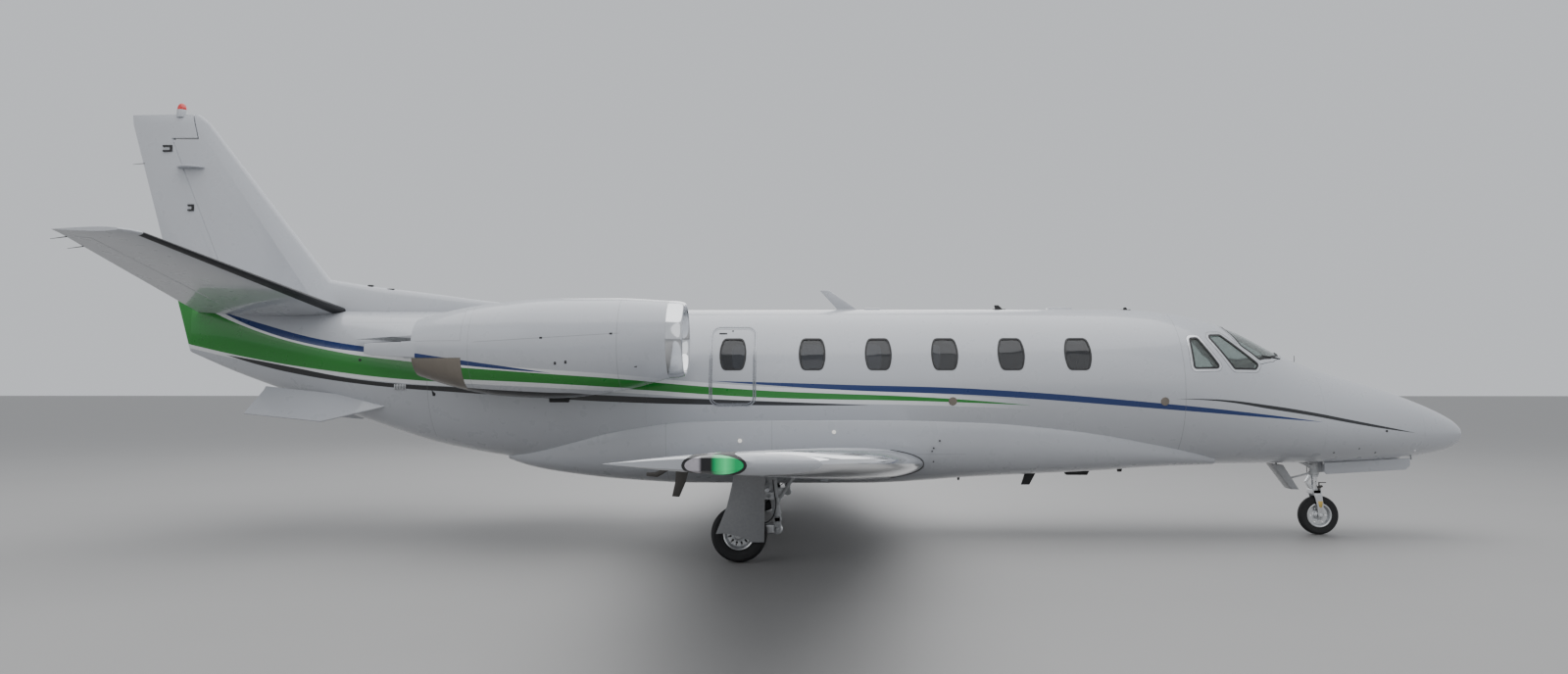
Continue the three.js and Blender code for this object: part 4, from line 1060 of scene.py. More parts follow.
def makeExit():
    door, stations = exitDoor, stationsFrom(7.9, 9.2)
    leaf = skinLayer("exitLeaf", stations, 0.0, hull["wall"])
    overlapOf(leaf, doorBlock(door, -1))
    cutAway(leaf, windowBlocks("cut", 0.0, [-1], [windowShape["exit"]]))
    deliver(leaf, "hullPaint", replaces=["emergency_exit"])
    addFinish(leaf, "cabinLining", isInside)
    rings = []
    for outer, width in ((0.024, 0.014), (0.000, 0.012)):  # one round the frame and one round the leaf
        ring = skinLayer("exitRing", stations, -0.003, 0.01)
        overlapOf(ring, doorBlock(door, -1, outer))
        cutAway(ring, doorBlock(door, -1, outer - width))
        rings.append(ring)
    deliver(joinAll("exitRing", rings), "ringMetal")


def makeEntryDoor():
    door, stations = entryDoor, stationsFrom(3.4, 4.4) + [4.465]
    leaf = skinLayer("entryDoorLeaf", stations, 0.0, hull["wall"])
    overlapOf(leaf, doorBlock(door, 1))
    low = door["z"] - door["height"] / 2
    half = (door["width"] - 0.12) / 2
    x = atStation(door["station"])
    stairs = box("entryDoorStairs", (x - half, 0.56, door["z"] - 0.56),
        (x - half + 0.02, 0.90, door["z"] + 0.33))
    parts = [box("stringer", (x + half - 0.02, 0.56, door["z"] - 0.56), (x + half, 0.90, door["z"] + 0.33))]
    for share in door["steps"]:
        z = low + share * door["height"]
        parts.append(box("step", (x - half, 0.44, z), (x + half, 0.90, z + 0.026), 0.006))
    for part in parts:
        combine(stairs, part, "UNION")
    overlapOf(stairs, hullLoft("inside", [3.3] + stations + [4.6], 0.03))
    treads = [box("tread", (x - half + 0.03, 0.455, low + share * door["height"] + 0.0255),
        (x + half - 0.03, 0.56, low + share * door["height"] + 0.029), 0.001) for share in door["steps"]]
    y, z = door["hinge"]
    reach = door["pinReach"]
    hinge = joinAll("entryDoorHinge", [
        rod("pin", (x - reach, y, z), (x + reach, y, z), 0.009, sides=24),
        box("strap", (x - 0.20, 0.540, 0.976), (x + 0.20, 0.572, 1.0), 0.004)])
    lugs = joinAll("entryDoorLugs", [
        box("lug", (x + way * reach - 0.015, y - 0.026, z - 0.015),
            (x + way * reach + 0.015, y + 0.012, z + 0.013),
            0.004) for way in (-1, 1)])
    cutAway(lugs, rod("bore", (x - 0.4, y, z), (x + 0.4, y, z), 0.0096, sides=24))
    spot = hullPoint(door["station"], 1.92, 1)
    handle = [box("plate", (x - 0.06, spot.y - 0.012, 1.89), (x + 0.06, spot.y + 0.0015, 1.95), 0.004),
        rod("grip", (x - 0.045, spot.y + 0.004, 1.92), (x + 0.045, spot.y + 0.004, 1.92), 0.007, sides=20,
        edge=0.002)]
    deliver(leaf, "hullPaint", "entry_door", ["entry_door"])
    addFinish(leaf, "cabinLining", isInside)
    deliver(stairs, "gearPaint", "entry_door")
    deliver(joinAll("entryDoorTreads", treads), "sealRubber", "entry_door")
    deliver(hinge, "gearSteel", "entry_door")
    deliver(lugs, "gearSteel")
    deliver(joinAll("entryDoorHandle", handle), "frameMetal", "entry_door")


makeWindows()
makeCockpitGlass()
makeExit()
makeEntryDoor()
print("doors and glass done")


# Belly fairing

# Columns: station, top edge, bottom.
fairingTable = [
    (3.0, 0.908, 0.826), (3.45, 1.012, 0.812), (3.9, 1.100, 0.788), (4.23, 1.160, 0.762),
    (4.55, 1.210, 0.744),
    (5.0, 1.262, 0.722), (5.7, 1.318, 0.686), (7.0, 1.350, 0.606), (9.0, 1.330, 0.602), (9.8, 1.230, 0.640),
    (10.4, 1.080, 0.700), (10.9, 0.960, 0.775), (11.25, 0.915, 0.870),
]
fairing = {"lip": 0.014, "squareness": 2 / 2.9, "dome": 0.12, "notch": (3.48, 4.29, 0.84)}


def fairingSize(station):
    top, bottom = (smoothColumn(fairingTable, column, station) for column in (1, 2))
    low, half, wide = hullShape(station)[1:]
    reach = half * math.sqrt(1 - ((wide - top) / (wide - low)) ** 2) + fairing["lip"]
    return top, top - bottom, reach


def makeBellyFairing():
    stations = evenly(3.0, 5.7, 0.12) + evenly(5.7, 9.0, 0.3)[1:] + evenly(9.0, 11.25, 0.14)[1:]

    def sizesAt(station):
        top, depth, reach = fairingSize(station)
        return reach, reach * fairing["dome"], depth, top

    top = sizesAt(stations[0])[3]
    centre = at(stations[0], 0, top)
    sides, power = 72, fairing["squareness"] - 1
    piece = startRing("bellyFairing", centre, sides)
    for i in range(1, sides // 4):  # the lower half is squared, pair by pair
        turn = 2 * math.pi * i / sides
        pickVerts(piece, lambda co: abs(co.z - top + math.sin(turn)) < 1e-4)
        resizeBy((1, math.cos(turn) ** power, math.sin(turn) ** power), centre)
    growRing(piece, stations, sizesAt)
    front, back, top = fairing["notch"]  # it makes way for the entry door
    notch = box("notch", at(back, 0.1, top), at(front, 1.2, 1.5))
    cutAway(piece, hullLoft("hullCut", evenly(2.85, 11.4, 0.15), closeFit), notch)
    deliver(piece, "fairingPaint", replaces=["belly_fairing"])


makeBellyFairing()


# Flying surfaces

def hingePoint(sections, axis, place, share):
    root, tip = sections
    t = (place - root[axis]) / (tip[axis] - root[axis])
    here = {key: root[key] + (tip[key] - root[key]) * t for key in root}
    return (Vector(at(here["station"] + share * here["chord"], here["y"], here["z"])),
        halfThickness(share) * here["thickness"])


moving = 0.008  # gap round a control surface


def hingeBlock(name, start, end, radii, thick, depth, gap):
    along = (end - start).normalized()
    aft = along.cross(Vector((0, 0, 1) if thick == "Z" else (0, 1, 0))).normalized()
    if aft.x > 0:
        aft.negate()
    up = along.cross(aft)
    turn = Matrix((along, aft, up)).transposed().to_euler()
    reach = (end - start).length + 2 * gap
    deselectAll()
    bpy.ops.mesh.primitive_cube_add(size=1, location=(start + end) / 2 + aft * depth / 2, rotation=turn,
        scale=(reach, depth, 0.9))
    block = newest(name)
    nose = rod("nose", start - along * gap, end + along * gap, radii[0] + gap, radii[1] + gap, 40)
    return block, nose


# Splits a control surface off a wing: it keeps what is behind its hinge line, with a round nose.
def controlSurface(name, surface, ends, thick, depth):
    (start, startRadius), (end, endRadius) = ends
    radii = (startRadius, endRadius)
    piece = duplicateOf(surface, name)
    block, nose = hingeBlock("block", start, end, radii, thick, depth, 0.0)
    overlapOf(piece, block)
    combine(piece, nose, "UNION")
    cutAway(surface, *hingeBlock("room", start, end, radii, thick, depth, moving))
    return piece


wing = {
    "inner": {"station": 6.37, "z": 0.872, "chord": 2.93, "thickness": 0.362, "y": -0.30},
    "root": {"station": 6.37, "z": 0.872, "chord": 2.93, "thickness": 0.362, "y": -0.80},
    "tip": {"station": 7.45, "z": 1.385, "chord": 1.085, "thickness": 0.118, "y": -8.33},
    "caps": [{"station": 7.56, "z": 1.393, "chord": 0.975, "thickness": 0.098, "y": -8.50},
             {"station": 7.70, "z": 1.397, "chord": 0.835, "thickness": 0.080, "y": -8.555},
             {"station": 7.86, "z": 1.398, "chord": 0.66, "thickness": 0.050, "y": -halfSpan}],
    "edgeDepth": 0.30, "edgeStart": 0.95, "flap": (1.02, 4.96, 0.72), "aileron": (5.06, 7.90, 0.74),
    "depth": 1.5,
}


def makeWing():
    surface = panelLoft("wingPanel_right", [wing["inner"], wing["root"], wing["tip"]] + wing["caps"])
    sections = (wing["root"], wing["tip"])
    made = []
    for label in ("flap", "aileron"):
        first, last, share = wing[label]
        ends = [hingePoint(sections, "y", -y, share) for y in (first, last)]
        made.append((label, controlSurface(f"{label}Panel_right", surface, ends, "Z", wing["depth"])))
    root, tip, end = wing["root"], wing["tip"], wing["caps"][-1]
    strip = [(root["station"] + wing["edgeDepth"], -wing["edgeStart"]),
        (tip["station"] + wing["edgeDepth"], tip["y"]), (end["station"] + 0.02, end["y"] - 0.05),
        (5.0, end["y"] - 0.05), (5.0, -wing["edgeStart"])]
    block = outlinePlate("strip", [at(s, y) for s, y in strip], "Z", 0.3, 2.0)
    edge = duplicateOf(surface, "leadingEdge_right")
    overlapOf(edge, block, keep=True)
    cutAway(surface, block)
    cutAway(surface, hullLoft("hullCut", evenly(5.9, 9.7, 0.38), closeFit))
    pad = box("pad", at(7.54, -1.64, 0.742), at(7.46, -1.56, 0.86), 0.004)
    surface = joinAll("wingPanel_right", [surface, pad])
    deliverPair(surface, "plainPaint", "white_paint", "wing")
    for one in deliverPair(edge, "polishedMetal", "polished_edge", "leading_edge"):
        addFinish(one, "plainPaint", lambda face: abs(face.center.y) > abs(wing["caps"][0]["y"]))
    for label, piece in made:
        deliverPair(piece, "plainPaint", "white_paint", label, label)
    lip = panelLoft("edgeLip_right", [wingSection(-0.935), wingSection(-0.965)], grow=0.006)
    overlapOf(lip, box("cut", at(6.76, -1.0, 0.5), at(6.2, -0.9, 1.3)))
    deliverPair(lip, "blackTrim", "polished_edge")


def wingSection(y):
    root, tip = wing["root"], wing["tip"]
    t = (y - root["y"]) / (tip["y"] - root["y"])
    return {key: root[key] + (tip[key] - root[key]) * t for key in root}


makeWing()
print("wings done")

fin = {
    "foot": {"station": 14.95, "y": 0.0, "z": 2.17, "chord": 0.268, "thickness": 0.055},
    "root": {"station": 13.18, "y": 0.0, "z": 2.64, "chord": 2.165, "thickness": 0.215},
    "tip": {"station": 15.015, "y": 0.0, "z": 4.96, "chord": 0.975, "thickness": 0.092},
    "caps": [{"station": 15.10, "y": 0.0, "z": 5.04, "chord": 0.90, "thickness": 0.078},
             {"station": 15.17, "y": 0.0, "z": 5.085, "chord": 0.83, "thickness": 0.050}],
    "heights": (2.81, 4.79), "shares": (0.665, 0.59), "lowGap": 0.018, "hornFoot": (15.16, 4.79),
    "hornTop": (15.29, 5.30), "hornGaps": (0.012, 0.024),
    "beacon": {"station": 15.39, "seat": 5.05, "waist": 5.145, "top": 5.23, "radius": 0.062},
}
# Columns: station, ridge height, half width at the foot, of the fillet ahead of the fin.
dorsalTable = [(10.5, 2.662, 0.020), (11.54, 2.775, 0.070), (12.26, 2.872, 0.100), (12.98, 2.962, 0.118),
               (13.6, 3.060, 0.100)]
stabilizer = {
    "root": {"station": 13.235, "y": 0.0, "z": 2.64, "chord": 1.88, "thickness": 0.188},
    "tip": {"station": 13.93, "y": -3.13, "z": 3.19, "chord": 0.80, "thickness": 0.078},
    "caps": [{"station": 14.0, "y": -3.22, "z": 3.203, "chord": 0.725, "thickness": 0.062},
             {"station": 14.08, "y": -3.275, "z": 3.21, "chord": 0.64, "thickness": 0.040}],
    "elevator": (0.40, 3.06, 0.69), "depth": 0.9, "boot": 0.085,
}


def dorsalShape(station):
    foot = 2.60
    return smoothColumn(dorsalTable, 1, station), foot - 0.06, smoothColumn(dorsalTable, 2, station), foot


# The rudder's balance horn reaches forward over the fin's own tip.
def hornBlock(ahead=0.0, below=0.0):
    (footStation, foot), (topStation, top) = fin["hornFoot"], fin["hornTop"]
    slope = (topStation - footStation) / (top - foot)
    rows = [(footStation - ahead - below * slope, foot - below), (topStation - ahead, top), (16.5, top),
        (16.5, foot - below)]
    return outlinePlate("horn", [at(s, z) for s, z in rows], "Y", -0.3, 0.3)


def makeTail():
    surface = panelLoft("finPanel", [fin["foot"], fin["root"], fin["tip"]] + fin["caps"], thick="Y")
    sections = (fin["root"], fin["tip"])
    low, high = [hingePoint(sections, "z", z, share) for z, share in zip(fin["heights"], fin["shares"])]
    past = 0.2  # the hinge line runs on past both ends, and the rudder is cut level

    def beyond(near, far):
        return near[0] + (near[0] - far[0]) * past, near[1] + (near[1] - far[1]) * past

    ends = [beyond(low, high), beyond(high, low)]
    rudder = duplicateOf(surface, "rudderPanel")
    block, nose = hingeBlock("block", ends[0][0], ends[1][0], (ends[0][1], ends[1][1]), "Y", 1.6, 0.0)
    bottom, top = fin["heights"]
    level = box("level", (-9, -0.6, bottom), (-4, 0.6, top + 0.001))
    overlapOf(block, level, keep=True)
    overlapOf(nose, level)
    combine(block, hornBlock(), "UNION")  # the horn comes off in the same cut, so the skin stays even
    overlapOf(rudder, block)
    combine(rudder, nose, "UNION")
    room = hingeBlock("room", ends[0][0], ends[1][0], (ends[0][1], ends[1][1]), "Y", 1.6, moving)
    room = combine(room[0], room[1], "UNION")
    overlapOf(room, box("level", (-9, -0.6, bottom - fin["lowGap"]), (-4, 0.6, top + 0.001)))
    cutAway(surface, room, hornBlock(*fin["hornGaps"]))
    dorsal = skinLoft("dorsal", evenly(10.5, 13.6, 0.155), dorsalShape, sides=32)
    combine(surface, dorsal, "UNION")
    deliver(surface, "finPaint", replaces=["fin"])
    deliver(rudder, "plainPaint", "rudder", ["rudder"])
    beacon = fin["beacon"]
    x = atStation(beacon["station"])
    waist = beacon["waist"]
    plinth = rod("beaconBase", (x, 0, beacon["seat"]), (x, 0, waist), beacon["radius"],
        beacon["radius"] * 0.95, 40, 0.004)
    deliver(plinth, "plainPaint", "rudder")
    profile = [(0.0, waist - 0.001)]
    profile += arc((0, waist + 0.004), (0.055, beacon["top"] - waist - 0.004), 0, 90, 8)
    dome = spunPiece("beaconLens", profile, "Z", (x, 0, 0), 40, closed=False)
    deliver(dome, "beaconLamp", "rudder")

    plane = panelLoft("stabilizerPanel_right", [stabilizer["root"], stabilizer["tip"]] + stabilizer["caps"])
    sections = (stabilizer["root"], stabilizer["tip"])
    first, last, share = stabilizer["elevator"]
    ends = [hingePoint(sections, "y", -y, share) for y in (first, last)]
    elevator = controlSurface("elevatorPanel_right", plane, ends, "Z", stabilizer["depth"])
    root, tip = sections

    def onBoot(face):
        t = abs(face.center.y / tip["y"])
        front = root["station"] + (tip["station"] - root["station"]) * t
        return 0.10 < t < 0.985 and noseX - face.center.x < front + stabilizer["boot"]

    for one in deliverPair(plane, "plainPaint", "white_paint", "stabilizer"):
        addFinish(one, "bootRubber", onBoot)
    deliverPair(elevator, "plainPaint", "white_paint", "elevator", "elevator")


strake = {"front": 12.39, "aft": 14.15, "foot": 14.23, "thickness": 0.022, "cant": 38.0, "pitch": 7.5,
          "y": 0.385, "z": 1.605}


def makeStrakes():
    middle = atStation((strake["front"] + strake["aft"]) / 2)
    outline = [(strake["front"], 0.06), (strake["aft"], 0.06), (strake["aft"], 0.0), (strake["foot"], -0.36),
        (strake["front"] + 0.89, -0.35)]
    piece = outlinePlate("strakePanel_right", [(atStation(s) - middle, z) for s, z in outline], "Y",
        -strake["thickness"] / 2, strake["thickness"] / 2, 0.008)
    activate(piece)
    cant = Matrix.Rotation(-math.radians(strake["cant"]), 3, "X")
    piece.rotation_euler = (cant @ Matrix.Rotation(math.radians(strake["pitch"]), 3, "Y")).to_euler()
    piece.location = (middle, -strake["y"], strake["z"])
    deliverPair(newest("strakePanel_right"), "plainPaint", "white_paint", "strake")


makeTail()
makeStrakes()
print("tail done")


# Engines

engine = {
    "y": -1.48, "inletZ": 2.245, "exhaustZ": 2.155, "lipFront": 8.98, "lipBack": 9.15, "cowlEnd": 11.29,
    "doorEnd": 11.85, "beamEnd": 12.4, "lipRadius": 0.415, "ductRadius": 0.345, "bayFront": 10.08,
    "wall": 0.04,
    "beam": (-0.115, 0.062), "pipeRadius": 0.262, "bayRadius": 0.372, "fan": 9.93, "blades": 24,
    "stang": {"front": 11.7, "back": 12.35, "out": 0.345, "backOut": 0.318, "thickness": 0.03, "low": 2.088,
              "high": 2.208},
}
# Columns: station, top, bottom, half width.
cowlTable = [(9.15, 2.66, 1.83, 0.415), (9.7, 2.69, 1.69, 0.462), (10.4, 2.69, 1.614, 0.478),
             (11.0, 2.642, 1.64, 0.458), (11.29, 2.603, 1.690, 0.434), (11.85, 2.47, 1.85, 0.33),
             (12.4, 2.265, 2.085, 0.06)]


def cowlShape(station):
    top, bottom, half = (smoothColumn(cowlTable, column, station) for column in (1, 2, 3))
    return top, bottom, half, (top + bottom) / 2


def makeEngine():
    y, inletZ, exhaustZ = engine["y"], engine["inletZ"], engine["exhaustZ"]

    def inletAt(station):
        return at(station, y, inletZ)

    def exhaustAt(station):
        return at(station, y, exhaustZ)

    pieces = []
    cowl = skinLoft("cowl_right", evenly(engine["lipBack"] + panelGap, engine["cowlEnd"], 0.1), cowlShape,
        middleY=y)
    duct = rod("duct", inletAt(9.0), inletAt(engine["bayFront"] + 0.02), engine["ductRadius"], sides=64)
    bay = skinLoft("bay", evenly(engine["bayFront"], engine["cowlEnd"] + 0.02, 0.1), cowlShape,
        engine["wall"], y)
    cutAway(cowl, duct, bay)
    aft = skinLoft("aft", evenly(engine["cowlEnd"], engine["beamEnd"], 0.08), cowlShape, middleY=y)
    hole = rod("hole", exhaustAt(11.0), exhaustAt(12.6), engine["bayRadius"] - 0.06,
        engine["pipeRadius"] + 0.014, 64)
    cutAway(aft, hole, keep=True)
    low, high = (exhaustZ + edge for edge in engine["beam"])
    x0, x1 = atStation(engine["cowlEnd"]), atStation(engine["doorEnd"])
    beams = duplicateOf(aft, "cowlBeams_right")
    overlapOf(beams, box("cut", (-6, y - 1, low), (-3, y + 1, high)))
    fairingPlate = cutAway(makeStang(y, low, high), hole)
    combine(beams, fairingPlate, "UNION")
    cowl = joinAll("cowl_right", [cowl, beams])
    pieces.append((cowl, "nacellePaint", "white_paint", "nacelle"))
    upper = duplicateOf(aft, "reverserUpper_right")
    overlapOf(upper, box("cut", (x1, y - 1, high + 0.0015), (x0 - 0.0015, y + 1, 3)))
    lower = duplicateOf(aft, "reverserLower_right")
    overlapOf(lower, box("cut", (x1, y - 1, 1), (x0 - 0.0015, y + 1, low - 0.0015)))
    remove(aft)
    pieces += [
        (upper, "nacellePaint", "white_paint", "reverser_upper"),
        (lower, "bareMetal", "bare_metal", "reverser_lower")]

    middle = (engine["ductRadius"] + engine["lipRadius"]) / 2
    thick = engine["lipRadius"] - middle
    depth = engine["lipBack"] - engine["lipFront"]
    back, turns = atStation(engine["lipBack"]), [math.pi * i / 20 for i in range(21)]
    profile = [(middle - thick * math.cos(t), back + depth * max(0, math.sin(t)) ** 0.8) for t in turns]
    lip = spunPiece("inletLip_right", profile, "X", (0, y, inletZ), 72)
    pieces.append((lip, "polishedMetal", "polished_edge", "inlet_lip"))

    core = rod("core", inletAt(10.11), exhaustAt(11.15), 0.318, 0.25, 40, 0.01)
    shaft = rod("shaft", inletAt(9.9), inletAt(10.12), 0.037, sides=24)
    pipeProfile = [(0.25, atStation(11.14)), (0.248, atStation(11.5)), (0.240, atStation(11.78)),
        (0.232, atStation(11.78)), (0.236, atStation(11.5)), (0.236, atStation(11.16))]
    pipe = spunPiece("pipe", pipeProfile, "X", (0, y, exhaustZ), 64)
    plugProfile = [(0.0, atStation(11.29)), (0.13, atStation(11.29)), (0.12, atStation(11.4)),
        (0.085, atStation(11.55)), (0.04, atStation(11.66)), (0.0, atStation(11.7))]
    plug = spunPiece("plug", plugProfile, "X", (0, y, exhaustZ), 48, closed=False)
    body = joinAll("engineCore_right", [core, shaft, pipe, plug])
    pieces.append((body, "darkMetal", "engine_metal", "engine"))

    x = atStation(engine["fan"])
    hubProfile = [(0.0, x - 0.04), (0.12, x - 0.045), (0.128, x), (0.12, x + 0.06), (0.098, x + 0.115),
        (0.065, x + 0.165), (0.028, x + 0.203), (0.0, x + 0.214)]
    hub = spunPiece("fanHub", hubProfile, "X", (0, y, inletZ), 48, closed=False)
    blades = [makeBlade(y, inletZ)]
    for i in range(1, engine["blades"]):
        activate(blades[0])
        bpy.ops.object.duplicate(linked=False)
        turn = 2 * math.pi * i / engine["blades"]
        turnBy(turn, "X", (x, y, inletZ))
        blades.append(newest("blade"))
    fan = joinAll("fanWheel_right", [hub] + blades)
    pieces.append((fan, "bladeMetal", "engine_metal", "fan", "fan"))

    arm = panelLoft("pylonArm_right", [
        {"station": 9.72, "y": -0.56, "z": 2.29, "chord": 3.23, "thickness": 0.15},
        {"station": 9.76, "y": -1.24, "z": 2.29, "chord": 2.50, "thickness": 0.15}], sides=48)
    cutAway(arm, hullLoft("hullCut", evenly(9.4, 13.4, 0.2), closeFit),
        skinLoft("cowlCut", evenly(9.15, 12.4, 0.13), cowlShape, closeFit, y))
    pieces.append((arm, "plainPaint", "white_paint", "pylon"))
    for settings in pieces:
        deliverPair(*settings)


# The fixed plate that carries the cowl's side on past the jet pipe, narrowing aft.
def makeStang(y, low, high):
    stang = engine["stang"]
    front, back = atStation(stang["front"]), atStation(stang["back"])
    outer, wall = y - stang["out"], stang["thickness"]
    plate = box("stang", (front - 0.01, outer, low), (front, outer + wall, high))
    startEdit(plate, "FACE")
    pickFaces(plate, lambda face: face.normal.x < -0.9)
    steps = 8
    for i in range(steps):
        extrudeBy(((back - front + 0.01) / steps, (stang["out"] - stang["backOut"]) / steps, 0))
        reach = (high - low) + (stang["high"] - stang["low"] - high + low) * i / steps
        wanted = (high - low) + (stang["high"] - stang["low"] - high + low) * (i + 1) / steps
        middle = (0, 0, (stang["low"] + stang["high"]) / 2)
        if i == steps - 1:
            wanted *= 0.8  # the aft edge is rounded off
        resizeBy((1, 1, wanted / reach), middle)
    endEdit()
    return roundEdges(plate, 0.006)


def makeBlade(y, z):
    # a thin blade, twisted from root to tip, thinner and wider towards its tip
    x = atStation(engine["fan"])
    deselectAll()
    bpy.ops.mesh.primitive_cube_add(size=1, location=(x, y, z + 0.115), scale=(0.008, 0.07, 0.001))
    blade = newest("blade")
    startEdit(blade, "FACE")
    steps, root, tip = 8, 0.115, 0.328
    pickFaces(blade, lambda face: face.normal.z > 0.9)
    for i in range(steps):
        rise = (tip - root) / steps
        extrudeBy((0, 0, rise))
        end = (x, y, z + root + rise * (i + 1))
        turnBy(math.radians(4.0), "Z", end)
        resizeBy((0.9, 1.035, 1), end)
    selectAll()
    turnBy(math.radians(28), "Z", (x, y, z))
    endEdit()
    return blade


makeEngine()
print("engines done")


# Landing gear

# A pipe or hose held along its route: a curve through the points with a round section.
def pipe(name, points, radius):
    deselectAll()
    bpy.ops.curve.primitive_bezier_curve_add(location=(0, 0, 0))
    line = bpy.context.object
    shape = line.data
    knots = shape.splines[0].bezier_points
    knots.add(len(points) - 2)
    for knot, point in zip(knots, points):
        knot.handle_left_type = knot.handle_right_type = "AUTO"
        knot.co = point
    shape.bevel_depth, shape.bevel_resolution, shape.resolution_u, shape.use_fill_caps = radius, 3, 6, True
    bpy.ops.object.convert(target="MESH")
    made = newest(name)
    pointOut(made)
    return made


# Tyre section: a carcass with grooves round its tread, on beads that sit inside the rim's flanges.
def makeTyre(name, centre, rim, radius, half, grooves):
    high = radius - rim
    grooveShape = ((0, -0.035), (0.007, -0.022), (0.007, 0.022), (0, 0.035))
    tread = [(radius - 0.006, -0.55 * half), (radius - 0.001, -0.42 * half)]
    for groove in grooves:
        tread += [(radius - drop, (groove + side) * half) for drop, side in grooveShape]
    tread += [(radius - 0.001, 0.42 * half), (radius - 0.006, 0.55 * half)]
    # columns: share of the height above the rim, share of the half width
    wallShares = ((0.10, 0.84), (0.13, 0.90), (0.17, 0.89), (0.35, 0.97), (0.52, 1.0), (0.68, 0.975),
        (0.72, 0.985), (0.75, 0.955), (0.86, 0.86), (0.95, 0.70))
    insideShares = ((0.4, 0.86), (0.75, 0.72), (0.84, 0.4))
    wall = [(rim + 0.001, 0.70)] + [(rim + up * high, w) for up, w in wallShares]
    inside = [(rim + 0.001, 0.58)] + [(rim + up * high, w) for up, w in insideShares]
    profile = [(r, -w * half) for r, w in wall] + tread + [(r, w * half) for r, w in reversed(wall)]
    profile += [(r, w * half) for r, w in inside] + [(r, -w * half) for r, w in reversed(inside)]
    return spunPiece(name, profile, "Y", centre, 96)


# Wheel: rim flanges, a dished web with its holes, a hub, tie bolts and a dust cap on the outer side.
def makeWheel(name, centre, rim, half, bore, holes, outward, slotSize):
    flange, web, hub = half * 0.78, half * 0.12, bore + 0.030
    profile = [(bore, 0.74 * half), (hub, 0.74 * half), (hub + 0.006, 0.66 * half),
        (hub + 0.008, web + 0.010), (hub + 0.020, web), (rim * 0.80, web), (rim * 0.86, web + 0.012),
        (rim * 0.88, flange - 0.012), (rim * 0.92, flange), (rim * 0.98, flange + 0.004),
        (rim * 1.045, flange + 0.002), (rim * 1.05, flange - 0.003), (rim * 1.01, flange - 0.006),
        (rim * 0.975, flange - 0.012)]
    loop = profile + [(r, -w) for r, w in reversed(profile)]
    wheel = spunPiece(name, loop, "Y", centre, 72)
    x, y, z = centre
    for i in range(holes):
        turn = 2 * math.pi * (i + 0.5) / holes
        reach, (wide, tall) = rim * 0.64, slotSize
        cutter = box("hole", (x - wide / 2, y - 0.08, z + reach - tall / 2),
            (x + wide / 2, y + 0.08, z + reach + tall / 2), wide * 0.42, 5)
        activate(cutter)
        turnBy(turn, "Y", centre)
        cutAway(wheel, newest("hole"))
    bolts = []
    for i in range(holes):
        turn = 2 * math.pi * i / holes
        bolts.append(rod("bolt", (x, y + outward * web * 0.5, z + rim * 0.50),
            (x, y + outward * (web + 0.012), z + rim * 0.50), 0.0075, sides=6, edge=0.001))
        activate(bolts[-1])
        turnBy(turn, "Y", centre)
        newest("bolt")
    cap = spunPiece("cap", [(r, outward * w * half) for r, w in (
        (bore + 0.001, 0.70), (hub * 0.93, 0.72), (hub * 0.90, 0.86), (hub * 0.72, 0.96),
        (bore + 0.001, 0.97))],
        "Y", centre, 40)
    return joinAll(name, [wheel, cap] + bolts)


noseGear = {"leg": 1.707, "wheel": 1.67, "radius": 0.228, "rim": 0.136, "half": 0.055, "bore": 0.0176,
    "top": 1.0996, "pistonTop": 0.770, "wellHalf": 0.1297,
    "door": {"front": (0.655, 0.900), "back": (1.643, 0.844), "y": 0.136, "drop": 0.128, "half": 0.006}}


